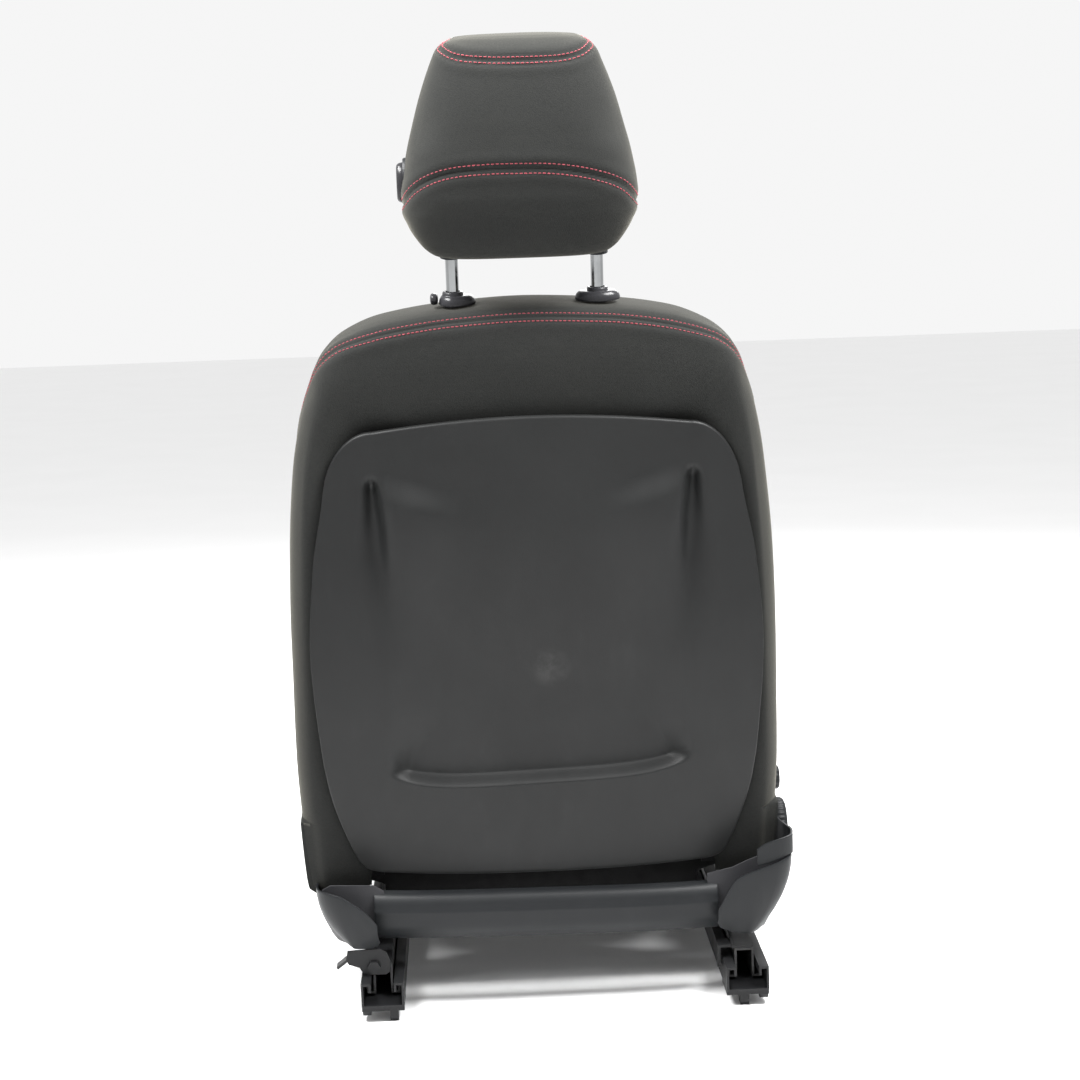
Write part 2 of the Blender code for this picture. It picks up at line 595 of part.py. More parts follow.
# ---------------------------------------------------------------- backrest frame (x, depth t, height s)
def back_side(side):
    """C-section side member of the backrest, from the recliner up."""
    sign = SIDE[side]
    web, lip, wall = MEMBER_OUT, 0.184, 0.0028
    depth = FRAME_HALF_T
    outline = [(web, -depth), (web, depth), (lip, depth), (lip, depth - wall), (web - wall, depth - wall),
               (web - wall, -depth + wall), (lip, -depth + wall), (lip, -depth)]
    member = prism("back_side_" + side, [(sign * x, t) for x, t in outline], "Z", -0.020, 0.560, BLACK_STEEL, back)
    ends = sorted((sign * 0.180, sign * 0.220))
    cut(member, rod("member_hole_" + side, "X", 0.0, -BACK_DATUM, 0.0085, *ends, BLACK_STEEL, back, 16))


def back_top_frame():
    """Bent tube across the top, carrying the two sockets for the headrest sleeves."""
    depth = POST_T + 0.0215
    path = [(-0.190, 0.004, 0.5606), (-0.190, 0.004, 0.568), (-0.184, depth, 0.5815), (-0.150, depth, 0.586),
            (0.150, depth, 0.586), (0.184, depth, 0.5815), (0.190, 0.004, 0.568), (0.190, 0.004, 0.5606)]
    pipe = tube("back_top_tube_path", filleted(path, 0.014, 3), 0.010, BLACK_STEEL, back, 2)
    mesh = bpy.data.meshes.new_from_object(pipe)
    bpy.data.objects.remove(pipe)
    bm = bmesh.new()
    bm.from_mesh(mesh)
    bmesh.ops.remove_doubles(bm, verts=bm.verts, dist=0.00005)
    frame = finish("back_top_frame", bm, BLACK_STEEL, back)
    for side, sign in SIDE.items():
        x = sign * POST_X
        socket = rod("post_socket_" + side, "Z", x, POST_T, 0.0135, 0.556, 0.603, BLACK_STEEL, back, 20)
        join(frame, socket)
    for side, sign in SIDE.items():
        bore = rod("socket_bore_" + side, "Z", sign * POST_X, POST_T, 0.0105, 0.548, 0.618, BLACK_STEEL, back, 20)
        cut(frame, bore)


def lower_crossmember():
    half = 0.2018
    outline = [(0.0130, 0.050), (0.0160, 0.050), (0.0160, 0.112), (0.0020, 0.120), (0.0010, 0.1172), (0.0130, 0.1100)]
    prism("back_lower_crossmember", outline, "X", -half, half, BLACK_STEEL, back)


def back_wires():
    runs = [((x, -0.014, 0.128), (x, -0.014, 0.540)) for x in (-0.110, 0.110)]
    rungs = [((-0.181, -0.014, s), (0.181, -0.014, s)) for s in (0.150, 0.225, 0.300, 0.375, 0.450, 0.520)]
    wire_mat("back_wire_mat", back, runs, rungs, 0.0018)


def lumbar():
    """Bowed pad that pushes the middle of the back forward, and its side knob."""
    rows = []
    for s in (0.160, 0.200, 0.240, 0.280):
        rows.append([(x, -0.0180 - 0.006 * (1.0 - (x / 0.095) ** 2), s) for x in (0.095, 0.048, 0.0, -0.048, -0.095)])
    sheet("lumbar_pad", rows, 0.0022, CORE, back)
    t, s = LUMBAR_T, LUMBAR_S
    knob = rod("lumbar_knob", "X", t, s, 0.0150, -0.2840, -0.2745, TRIM, back, 20)
    stem = rod("lumbar_stem", "X", t, s, 0.0035, -0.2760, -0.2060, TRIM, back, 12)
    join(knob, stem)


# ---------------------------------------------------------------- headrest sleeves
def guide_sleeve(side):
    """Plastic sleeve: a stem down in the socket and an oval flange on the cover."""
    x = SIDE[side] * POST_X
    inner, outer = (-0.0235, 0.0132) if side == "left" else (-0.0240, 0.0240)
    sides = 24

    def oval(scale, s):
        points = []
        for i in range(sides):
            angle = 2.0 * math.pi * i / sides
            reach = outer if math.cos(angle) > 0 else -inner
            points.append((x + scale * reach * math.cos(angle), POST_T + scale * 0.0165 * math.sin(angle), s))
        return points

    flange = loft("guide_sleeve_" + side, [oval(1.0, 0.6430), oval(1.0, 0.6465), oval(0.94, 0.6510),
                                           oval(0.78, 0.6545)], TRIM, back)
    stem = rod("sleeve_stem_" + side, "Z", x, POST_T, 0.0100, 0.553, 0.650, TRIM, back, 20)
    join(flange, stem)
    cut(flange, rod("sleeve_bore_" + side, "Z", x, POST_T, POST_R + 0.0006, 0.540, 0.670, TRIM, back, 20))


def guide_button():
    """Height lock button beside the left sleeve."""
    x = POST_X + 0.0160
    outline = [(x, POST_T - 0.0070), (x + 0.0050, POST_T - 0.0085), (x + 0.0088, POST_T - 0.0050),
               (x + 0.0088, POST_T + 0.0050), (x + 0.0050, POST_T + 0.0085), (x, POST_T + 0.0070)]
    prism("guide_button", outline, "Z", 0.6433, 0.6535, TRIM, back)


# ---------------------------------------------------------------- backrest foam
def back_centre():
    """Middle pad of the backrest, hollowed behind for the lumbar pad."""
    stations = ((0.052, -0.036, -0.058), (0.070, -0.029, -0.066), (0.180, -0.029, -0.074), (0.300, -0.029, -0.070),
                (0.460, -0.029, -0.062), (0.588, -0.029, -0.056), (0.605, -0.034, -0.048))
    rings = []
    for s, rear, front in stations:
        half = 0.1512
        rings.append([(-half, rear, s), (half, rear, s), (half, front + 0.008, s), (half - 0.030, front, s),
                      (0.0, front + 0.004, s), (-half + 0.030, front, s), (-half, front + 0.008, s)])
    pad = loft("back_foam_centre", rings, FABRIC, back)
    pocket = box("lumbar_pocket", (-0.105, -0.046, 0.140), (0.105, -0.010, 0.300), FABRIC, back)
    cut(pad, pocket)


# lower rear corner of a side roll, behind the recliner: height, half width, near and far face
CORNER = ((-0.026, 0.244, 0.0380, 0.0436), (-0.016, 0.254, 0.0380, 0.0450), (0.012, 0.260, 0.0380, 0.0455),
          (0.036, 0.263, 0.0380, 0.0450), (0.072, 0.252, 0.0280, 0.0350))


def back_bolster(side):
    """Side roll: forward of the frame it reaches in to the middle pad, and its lower end clears the recliner."""
    sign = SIDE[side]
    front = ((0.060, -0.082), (0.110, -0.108), (0.200, -0.120), (0.320, -0.116), (0.430, -0.100), (0.520, -0.080),
             (0.564, -0.070))
    rear = ((0.060, 0.040), (0.120, 0.045), (0.300, 0.048), (0.450, 0.046), (0.564, 0.042))
    rings = []
    for s in (0.060, 0.075, 0.110, 0.160, 0.241, 0.320, 0.400, 0.467, 0.522, 0.552, 0.564):
        outer, tip, heel = between(FLANK, s), between(front, s), between(rear, s)
        section = [(0.2056, heel), (outer - 0.026, heel), (outer - 0.008, heel - 0.012), (outer, heel - 0.034),
                   (outer, tip + 0.050), (outer - 0.010, tip + 0.018), (outer - 0.034, tip), (outer - 0.062, tip + 0.003),
                   (max(outer - 0.086, 0.1530), tip + 0.024), (0.1518, -0.046), (0.1518, -0.029),
                   (0.2056, -0.029)]
        rings.append([(sign * x, t, s) for x, t in section])
    bolster = loft("back_bolster_" + side, rings, FABRIC, back)
    rings = []
    for s, outer, near, far in CORNER:
        section = [(0.2062, near), (outer, near), (outer - 0.006, far - 0.004), (outer - 0.018, far), (0.2062, far)]
        rings.append([(sign * x, t, s) for x, t in section])
    join(bolster, loft("back_corner_" + side, rings, FABRIC, back))


def back_top():
    """Padded arch over the frame, with holes for the sleeves."""
    outer = [(0.2335, 0.5643), (0.227, 0.578), (0.217, 0.592), (0.198, 0.608), (0.152, 0.626), (0.080, 0.637)]
    outline = outer + [(0.0, BACK_TOP)] + [(-x, s) for x, s in reversed(outer)]
    inner = [(0.207, 0.5643), (0.202, 0.584), (0.188, 0.597), (0.150, 0.607)]
    outline += [(-x, s) for x, s in inner] + list(reversed(inner))
    rings = []
    for t, inset in ((-0.062, 0.006), (-0.052, 0.0), (0.030, 0.0), (0.042, 0.006)):
        ring = []
        for i, (x, s) in enumerate(outline):
            outer_point = i < 2 * len(outer) + 1
            pull = inset if outer_point else 0.0
            ring.append((x * (1.0 - pull / 0.233), t, s - pull * (s - 0.564) / 0.076))
        rings.append(ring)
    arch = loft("back_foam_top", rings, FABRIC, back)
    low = [(0.2035, 0.5290), (0.2035, 0.5610), (0.211, 0.574), (0.207, 0.589), (0.192, 0.603), (0.152, 0.613)]
    low = low + [(-x, s) for x, s in reversed(low)]
    join(arch, loft("back_rear_padding", [[(x, t, s) for x, s in low] for t in (0.0370, 0.0470)], FABRIC, back))
    for side, sign in SIDE.items():
        cut(arch, rod("arch_hole_" + side, "Z", sign * POST_X, POST_T, 0.0104, 0.590, 0.670, FABRIC, back, 16))


def recess(x, s):
    """How far the rear panel is pressed in to give knee room, in metres."""
    wall = 1.0 - smooth(0.150, 0.174, abs(x))
    fade = 1.0 - 0.55 * smooth(0.200, 0.470, s)
    top = 1.0 - smooth(0.405, 0.480, s)
    ledge = 0.108 + 0.014 * (abs(x) / 0.160) ** 4
    return RECESS_DEPTH * wall * fade * top * smooth(ledge, ledge + 0.010, s)


def panel_point(u, v):
    """A point of the rear panel's outer face, for u from -1 to 1 across and v from 0 to 1 up."""
    corner = max(0.0, (abs(u) - 0.78) / 0.22)
    top = 0.525 - 0.013 * (min(abs(u), 0.78) / 0.78) ** 2 - 0.066 * (1.0 - math.sqrt(max(0.0, 1.0 - corner * corner)))
    bottom = -0.004 + 0.004 * u * u
    s = bottom + (top - bottom) * v
    x = u * between(PANEL_WIDTH, s)
    t = between(PANEL_DEPTH, s) - 0.014 * abs(u) ** 2.6 - recess(x, s)
    return x, t, s


def rear_panel():
    """Moulded shell that closes the back of the backrest."""
    across = [-1.0, -0.97, -0.91, -0.80, -0.71, -0.66, -0.61, -0.40, -0.20, 0.0]
    across += [-u for u in reversed(across[:-1])]
    up = [0.0, 0.07, 0.14, 0.195, 0.222, 0.25, 0.34, 0.46, 0.58, 0.70, 0.79, 0.86, 0.93, 0.97, 1.0]
    rows = [[panel_point(-u, v) for u in across] for v in up]
    sheet("rear_panel", rows, PANEL_THICK, PANEL, back)


# ---------------------------------------------------------------- headrest
def headrest_rod():
    """Both posts and the bar between them, bent from one rod."""
    foot = 0.556 - CROSSBAR_S
    path = [(POST_X, 0.0, foot), (POST_X, 0.0, 0.0), (-POST_X, 0.0, 0.0), (-POST_X, 0.0, foot)]
    tube("headrest_rod", filleted(path, 0.024, 5), POST_R, CHROME, head, 4)


def headrest_carrier():
    """Core that turns on the bar between the posts."""
    outline = [(-0.020, -0.018), (0.020, -0.018), (0.024, -0.008), (0.022, 0.040), (0.014, 0.052), (-0.014, 0.052),
               (-0.022, 0.040), (-0.024, -0.008)]
    core = prism("headrest_carrier", outline, "X", -0.046, 0.046, CORE, head)
    cut(core, rod("carrier_bore", "X", 0.0, 0.0, POST_R + 0.0004, -0.060, 0.060, CORE, head, 20))


HEAD_SECTIONS = (
    # height, half width, rear face, front face
    (0.698, 0.079, 0.040, -0.020), (0.703, 0.090, 0.048, -0.028), (0.716, 0.105, 0.058, -0.035),
    (0.732, 0.1155, 0.065, -0.039), (0.756, 0.1210, 0.071, -0.042), (0.790, 0.1170, 0.073, -0.044),
    (0.826, 0.1085, 0.067, -0.044), (0.862, 0.0985, 0.060, -0.042), (0.893, 0.0885, 0.052, -0.037),
    (0.910, 0.0800, 0.043, -0.029), (0.918, 0.066, 0.030, -0.017), (0.921, 0.050, 0.020, -0.008),
)


def headrest_foam():
    """Padded body, open underneath for the posts and pocketed at one side for the button."""
    rings = []
    sides, power = 28, 2.0 / 3.2
    for s, half, rear, front in HEAD_SECTIONS:
        middle, reach = (rear + front) / 2.0, (rear - front) / 2.0
        ring = []
        for i in range(sides):
            angle = 2.0 * math.pi * i / sides
            c, d = math.cos(angle), math.sin(angle)
            x = HEAD_SHIFT + half * math.copysign(abs(c) ** power, c)
            t = middle + reach * math.copysign(abs(d) ** power, d)
            ring.append((x, t - POST_T, s - CROSSBAR_S))
        rings.append(ring)
    foam = loft("headrest_foam", rings, FABRIC, head)
    core = box("core_pocket", (-0.0480, -0.0255, -0.0200), (0.0480, 0.0255, 0.0540), FABRIC, head)
    channel = box("bar_channel", (-0.0700, -0.0090, -0.0090), (0.0700, 0.0090, 0.0090), FABRIC, head)
    slot = [(-0.0270, -0.080), (0.0140, -0.080), (0.0095, 0.010), (-0.0095, 0.010)]
    slots = [prism(f"post_slot_{i}", slot, "X", low, high, FABRIC, head)
             for i, (low, high) in enumerate(((-0.0900, -0.0440), (0.0440, 0.0900)))]
    pocket = prism("button_pocket", button_outline(0.0012), "X", 0.0985, 0.150, FABRIC, head)
    cut(foam, core, channel, *slots, pocket)


def button_outline(grow=0.0):
    """Long oval in depth and height, beside the headrest's middle."""
    t, s = BUTTON_T, BUTTON_S
    return [(t + (0.0150 + grow) * math.cos(a), s + (0.0215 + grow) * math.sin(a))
            for a in (2.0 * math.pi * i / 20 for i in range(20))]


def headrest_button():
    face = button_outline()
    t, s = BUTTON_T, BUTTON_S
    inset = [(t + (a - t) * 0.82, s + (b - s) * 0.82) for a, b in face]
    rings = [[(x, a, b) for a, b in ring] for x, ring in ((0.1040, face), (0.1280, face), (0.1325, inset))]
    loft("headrest_button", rings, TRIM, head)


def post_bezel(side):
    """Slotted trim where a post enters the headrest."""
    x = SIDE[side] * POST_X
    height = 0.6925 - CROSSBAR_S
    turns = [2.0 * math.pi * i / 20 for i in range(20)]
    outline = [(x + 0.0125 * math.cos(a), -0.0065 + 0.0220 * math.sin(a)) for a in turns]
    slot = [(x + 0.0090 * math.cos(a), -0.0065 + 0.0180 * math.sin(a)) for a in turns]
    bezel = prism("post_bezel_" + side, outline, "Z", height, height + 0.0045, TRIM, head)
    cut(bezel, prism("bezel_slot_" + side, slot, "Z", height - 0.01, height + 0.02, TRIM, head))


# ---------------------------------------------------------------- assembly
for hand in ("left", "right"):
    lower_rail(hand)
    front_foot(hand)
    rear_hook(hand)
    upper_rail(hand)
    rail_bracket(hand)
    track_latch(hand)
    link("rear_link_" + hand, rear_axis, hand, 0.0090)
    link("front_link_" + hand, front_axis, hand, 0.0080)
    cushion_side(hand)
    cushion_bolster(hand)
    recliner_disc(hand)
    back_side(hand)
    back_bolster(hand)
    guide_sleeve(hand)
    post_bezel(hand)
harness_bracket()
buckle_anchor()
release_bar()
link_tube("rear_torque_tube", rear_axis, 0.013)
link_tube("front_cross_tube", front_axis, 0.010)
seat_pan()
rear_crossmember()
cushion_suspension()
cushion_centre()
rear_flap()
side_shields()
recliner_cover()
rear_apron()
height_lever()
recliner_drive()
back_top_frame()
lower_crossmember()
back_wires()
lumbar()
guide_button()
back_centre()
back_top()
rear_panel()
headrest_rod()
headrest_carrier()
headrest_foam()
headrest_button()
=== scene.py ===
"""Looks of a front car seat with a sport trim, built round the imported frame.  Metres, +Z up, the occupant
faces -Y.  Backrest and headrest shapes are given in the backrest's own axes: x across, t rearward, s up."""

import json
import math

import bpy
import numpy as np
from mathutils import Matrix, Vector
from mathutils.bvhtree import BVHTree


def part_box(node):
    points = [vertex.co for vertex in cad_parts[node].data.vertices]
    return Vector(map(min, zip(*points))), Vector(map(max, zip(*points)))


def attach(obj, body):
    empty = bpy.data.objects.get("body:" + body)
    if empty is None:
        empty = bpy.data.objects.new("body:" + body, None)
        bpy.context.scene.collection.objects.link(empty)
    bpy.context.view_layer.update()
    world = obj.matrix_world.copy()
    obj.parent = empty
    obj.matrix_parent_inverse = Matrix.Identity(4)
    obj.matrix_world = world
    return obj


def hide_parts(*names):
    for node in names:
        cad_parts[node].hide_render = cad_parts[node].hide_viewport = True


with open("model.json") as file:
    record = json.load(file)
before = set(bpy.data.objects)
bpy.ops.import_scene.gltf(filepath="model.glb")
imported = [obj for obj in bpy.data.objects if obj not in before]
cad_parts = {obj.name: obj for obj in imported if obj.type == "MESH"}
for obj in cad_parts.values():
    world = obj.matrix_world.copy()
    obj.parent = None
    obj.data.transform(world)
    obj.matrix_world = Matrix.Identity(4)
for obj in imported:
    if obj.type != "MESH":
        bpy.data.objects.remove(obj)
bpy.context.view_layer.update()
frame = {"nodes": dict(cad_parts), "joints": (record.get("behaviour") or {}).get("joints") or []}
NODES = frame["nodes"]
JOINTS = {joint["name"]: joint for joint in frame["joints"]}

# ---------------------------------------------------------------- driving dimensions
RECLINE = math.radians(9.0)  # lean of the backrest at rest
PIVOT = np.array(JOINTS["recline"]["pos_m"])  # recline axis on the seat's middle plane
MID_X = PIVOT[0]
DATUM_DROP = 0.012  # backrest heights start this far below the recline axis
ACROSS = np.array([1.0, 0.0, 0.0])
REARWARD = np.array([0.0, math.cos(RECLINE), -math.sin(RECLINE)])
UPWARD = np.array([0.0, math.sin(RECLINE), math.cos(RECLINE)])
BACK_ORIGIN = PIVOT - UPWARD * DATUM_DROP
POST_X, POST_T = 0.078, 0.004
HEAD_SHIFT = 0.003

# half outline (x, s) of the backrest's cloth from the lower rear corner to the top
COVER_OUTER = (
    (0.262, -0.031), (0.27, -0.024), (0.2725, 0.0), (0.275, 0.054), (0.277, 0.123), (0.275, 0.241), (0.27, 0.375),
    (0.261, 0.467), (0.25, 0.522), (0.238, 0.558), (0.231, 0.577), (0.221, 0.594), (0.201, 0.6115), (0.154, 0.629),
    (0.08, 0.6395), (0.0, 0.643),
)
# the inner line (x, s) that the cloth is wrapped to, point for point
COVER_INNER = (
    (0.2, -0.024), (0.2, -0.018), (0.2, 0.0), (0.2036, 0.054), (0.2056, 0.123), (0.2056, 0.241), (0.2056, 0.365),
    (0.2045, 0.44), (0.2, 0.478), (0.193, 0.496), (0.187, 0.503), (0.176, 0.509), (0.155, 0.513), (0.115, 0.515),
    (0.058, 0.516), (0.0, 0.516),
)
# rearmost and foremost depth t of the side rolls at heights s
COVER_HEEL = (
    (-0.031, 0.044), (0.06, 0.0455), (0.12, 0.048), (0.3, 0.05), (0.45, 0.047), (0.52, 0.044),
)
COVER_TIP = (
    (0.06, -0.084), (0.11, -0.111), (0.2, -0.123), (0.32, -0.119), (0.43, -0.103), (0.52, -0.083), (0.564, -0.072),
    (0.643, -0.064),
)
SHELF_S, SHELF_STEP = 0.059, 0.0022  # the side rolls end over this step; only the rear corners reach lower
CORNER_FACE = 0.0378  # forward face of those corners
# where the top seam runs round the cover's section, at heights s of the rim
SEAM_W = (
    (-0.031, 8.6), (0.123, 8.4), (0.3, 8.0), (0.44, 7.2), (0.5, 6.2), (0.54, 5.2), (0.565, 4.55), (0.585, 4.05),
    (0.603, 3.72), (0.622, 3.5), (0.634, 3.4), (0.643, 3.38),
)
OUTER_SIDE_SLIM = 0.0045  # the side with the recliner wheel is this much slimmer below the shoulder

# half width and depth t of the rear panel at heights s
PANEL_WIDTH = (
    (-0.004, 0.203), (0.033, 0.218), (0.086, 0.233), (0.155, 0.244), (0.263, 0.25), (0.366, 0.242), (0.443, 0.228),
    (0.525, 0.219),
)
PANEL_DEPTH = (
    (-0.004, 0.0615), (0.06, 0.07), (0.15, 0.076), (0.25, 0.078), (0.4, 0.071), (0.525, 0.058),
)
RECESS_DEPTH = 0.018

# the headrest's sections: s, half width, rear t, front t
HEAD_SECTIONS = (
    (0.6945, 0.012, 0.012, 0.004), (0.6945, 0.05, 0.025, -0.006), (0.6952, 0.078, 0.037, -0.017),
    (0.698, 0.0915, 0.0455, -0.026), (0.705, 0.102, 0.0535, -0.033), (0.716, 0.111, 0.061, -0.038),
    (0.731, 0.1195, 0.0675, -0.042), (0.748, 0.1245, 0.073, -0.045), (0.766, 0.1242, 0.076, -0.046),
    (0.8, 0.1178, 0.0755, -0.0465), (0.83, 0.1095, 0.0705, -0.0465), (0.862, 0.101, 0.0635, -0.044),
    (0.89, 0.0915, 0.0555, -0.0395), (0.907, 0.084, 0.048, -0.033), (0.917, 0.075, 0.039, -0.024),
    (0.9225, 0.062, 0.029, -0.014), (0.9245, 0.043, 0.02, -0.006), (0.9248, 0.012, 0.01, 0.004),
)
HEAD_SQUARE = 2.0 / 3.3  # exponent of the headrest's section
# the headrest's seams: x across the rear, s
HEAD_CAP_SEAM = (
    (-0.086, 0.919), (-0.08, 0.9165), (-0.073, 0.912), (-0.0625, 0.9055), (-0.04, 0.9015), (0.01, 0.9008),
    (0.04, 0.9025), (0.0653, 0.9055), (0.0796, 0.913), (0.086, 0.917), (0.092, 0.919),
)
HEAD_LOWER_SEAM = (
    (-0.122, 0.748), (-0.1125, 0.762), (-0.104, 0.7714), (-0.082, 0.7817), (-0.053, 0.7895), (-0.0225, 0.7934),
    (0.02, 0.7945), (0.0415, 0.794), (0.0745, 0.7915), (0.1015, 0.782), (0.118, 0.769), (0.128, 0.752),
)
HEAD_SEAM_FRONT = (0.919, 0.748)  # s of the two seams along the front
HEAD_SEAM_SMOOTHING = 24
BACK_CHANNELS = (0.19, 0.33, 0.47)  # s of the sewn channels across the backrest's middle pad
SEAT_CHANNELS = (-0.44, -0.3, -0.18)  # y of those across the cushion, from the recline axis
PAD_HALF, CUSHION_HALF, ROLL_INNER = 0.15, 0.1505, 0.1512
FLAP_HANG, FLAP_HALF, FLAP_AREA = 0.007, 0.212, 0.03
WEB_FACES = (0.064, 0.066)  # y of the shield webs, from the recline axis
WALL, THIN_WALL, MOULD_EDGE, CAD_EDGE = 0.0026, 0.0024, 0.0009, 0.0006

# furthest that each cover may swell as cloth
COVER_SWELL, PAD_SWELL, HEAD_SWELL, CUSHION_SWELL, ROLL_SWELL = 0.004, 0.006, 0.0035, 0.007, 0.005

STITCH_LENGTH, STITCH_PITCH, THREAD_R, THREAD_SIDES = 0.0036, 0.0048, 0.00062, 6
SEAM_TO_STITCH = 0.005
BOTH_SIDES = (SEAM_TO_STITCH, -SEAM_TO_STITCH)
CAP_STITCHES = (0.0033, -0.0033)


# ---------------------------------------------------------------- numbers
def smooth(low, high, at):
    share = np.clip((np.asarray(at, float) - low) / (high - low), 0.0, 1.0)
    return share * share * (3.0 - 2.0 * share)


def band(at, low, full, fade, gone):
    """Rises from low to full and falls again from fade to gone."""
    return smooth(low, full, at) * (1.0 - smooth(fade, gone, at))


def once_round(count):
    return np.linspace(0.0, 2.0 * math.pi, count + 1)[:-1]


def slopes(x, y):
    """Slopes of a smooth curve through the points that never overshoots them."""
    h = np.diff(x)
    h = h.reshape((-1,) + (1,) * (y.ndim - 1))
    step = np.diff(y, axis=0) / h
    m = np.zeros_like(y)
    before, after = step[:-1], step[1:]
    flat = before * after <= 0.0
    bottom = np.where(flat, 1.0, before + after)
    m[1:-1] = np.where(flat, 0.0, 2.0 * before * after / bottom)
    m[0], m[-1] = step[0], step[-1]
    return m


def curve(knots, values, at):
    """Values on a smooth curve through the knots, at any places."""
    x, y, at = np.asarray(knots, float), np.asarray(values, float), np.asarray(at, float)
    at = np.clip(at, x[0], x[-1])
    m = slopes(x, y)
    i = np.clip(np.searchsorted(x, at, side="right") - 1, 0, len(x) - 2)
    h = x[i + 1] - x[i]
    u = (at - x[i]) / h
    if y.ndim > 1:
        h, u = h[:, None], u[:, None]
    return (y[i] * (1 + 2 * u) * (1 - u) ** 2 + m[i] * h * u * (1 - u) ** 2
            + y[i + 1] * u * u * (3 - 2 * u) + m[i + 1] * h * u * u * (u - 1))


def table(rows, at):
    rows = np.array(rows, float)
    return curve(rows[:, 0], rows[:, 1], at)


def mirrored(half):
    """A half outline from low to the middle, made whole."""
    half = np.array(half, float)
    other = half[:-1][::-1].copy()
    other[:, 0] *= -1.0
    return np.concatenate([half, other])


def chord(points):
    return np.concatenate([[0.0], np.cumsum(np.linalg.norm(np.diff(points, axis=0), axis=1))])


def ring_weights(count, per_side):
    """Weights of a closed spline through count points, with a number of samples in each side of the ring."""
    at = np.concatenate([i + np.arange(n) / n for i, n in enumerate(per_side)])
    i = np.floor(at).astype(int)
    u = at - i
    basis = (-0.5 * u + u * u - 0.5 * u ** 3, 1 - 2.5 * u * u + 1.5 * u ** 3,
             0.5 * u + 2 * u * u - 1.5 * u ** 3, -0.5 * u * u + 0.5 * u ** 3)
    weights = np.zeros((len(at), count))
    for offset, value in zip((-1, 0, 1, 2), basis):
        np.add.at(weights, (np.arange(len(at)), (i + offset) % count), value)
    return at, weights


def back_point(x, t, s):
    """A point given across, rearward and up the backrest."""
    x, t, s = np.broadcast_arrays(np.asarray(x, float), np.asarray(t, float), np.asarray(s, float))
    return BACK_ORIGIN + x[..., None] * ACROSS + t[..., None] * REARWARD + s[..., None] * UPWARD


def seat_point(x, y, z):
    """A point given from the middle plane and from the recline axis, and its height above the floor."""
    x, y, z = np.broadcast_arrays(np.asarray(x, float), np.asarray(y, float), np.asarray(z, float))
    return np.stack([MID_X + x, PIVOT[1] + y, z], axis=-1)


def ripple(points, scale, amount):
    """Gentle unevenness, the same each run."""
    p = points * scale
    wave = (np.sin(p[..., 0] * 1.7 + 1.3 * np.sin(p[..., 2]))
            + np.sin(p[..., 2] * 1.3 + 0.7 + np.sin(p[..., 1] * 1.9))
            + np.sin(p[..., 1] * 2.1 + 1.1 * np.sin(p[..., 0] * 0.8)))
    return amount * wave / 3.0


# ---------------------------------------------------------------- meshes
def new_object(name, vertices, faces, material, sharp=None):
    mesh = bpy.data.meshes.new(name)
    mesh.from_pydata([tuple(v) for v in vertices], [], faces)
    mesh.validate()
    mesh.update()
    mesh.shade_smooth()
    if sharp:
        mesh.set_sharp_from_angle(angle=math.radians(sharp))
    mesh.materials.append(material)
    made = bpy.data.objects.new(name, mesh)
    bpy.context.scene.collection.objects.link(made)
    return made


def grid_faces(rows, columns, closed):
    faces = []
    reach = columns if closed else columns - 1
    for r in range(rows - 1):
        for c in range(reach):
            d = (c + 1) % columns
            faces.append((r * columns + c, r * columns + d, (r + 1) * columns + d, (r + 1) * columns + c))
    return faces


def capped(grid, steps=5):
    """Adds shrinking rings across both ends, so that the ends shade evenly."""
    def inward(ring):
        middle = ring.mean(0)
        return [middle + (ring - middle) * (1.0 - k / (steps + 1.0)) for k in range(1, steps + 1)]

    return np.concatenate([np.array(inward(grid[0])[::-1]), grid, np.array(inward(grid[-1]))])


def closed_piece(name, grid, material, sharp=None):
    """Rings of points joined into one closed body, its two ends closed by fans."""
    rows, columns = grid.shape[:2]
    vertices = np.concatenate([grid.reshape(-1, 3), grid[0].mean(0)[None], grid[-1].mean(0)[None]])
    faces = grid_faces(rows, columns, True)
    first, last = rows * columns, rows * columns + 1
    for c in range(columns):
        d = (c + 1) % columns
        faces.append((d, c, first))
        faces.append(((rows - 1) * columns + c, (rows - 1) * columns + d, last))
    return facing_out(new_object(name, vertices, faces, material, sharp))


def looped_piece(name, rings, material, sharp):
    """Rings of points joined into one closed body whose last ring meets its first."""
    grid = np.array(rings)
    rows, columns = grid.shape[:2]
    faces = [tuple(v % (rows * columns) for v in face) for face in grid_faces(rows + 1, columns, True)]
    return facing_out(new_object(name, grid.reshape(-1, 3), faces, material, sharp))


def facing_out(obj):
    """Turns a closed body's faces outward if they face in."""
    mesh = obj.data
    mesh.calc_loop_triangles()
    co = np.array([v.co for v in mesh.vertices])
    tri = np.array([t.vertices for t in mesh.loop_triangles])
    a, b, c = co[tri[:, 0]], co[tri[:, 1]], co[tri[:, 2]]
    if (a * np.cross(b, c)).sum() < 0.0:
        mesh.flip_normals()
    return obj


def outward(grid):
    """Unit normals of a ring grid, pointing away from each ring's middle."""
    along = np.gradient(grid, axis=0)
    around = np.roll(grid, -1, axis=1) - np.roll(grid, 1, axis=1)
    normal = np.cross(along, around)
    length = np.linalg.norm(normal, axis=2, keepdims=True)
    normal = normal / np.where(length < 1e-12, 1.0, length)
    middle = grid.mean(axis=1, keepdims=True)
    if ((grid - middle) * normal).sum() < 0.0:
        normal = -normal
    return normal


def side_ring(x, middle, reach_y, reach_z, turns):
    """An oval ring round a sideways axis."""
    y, z = middle[1] + reach_y * np.cos(turns), middle[2] + reach_z * np.sin(turns)
    return np.stack([np.full_like(turns, x), y, z], axis=-1)


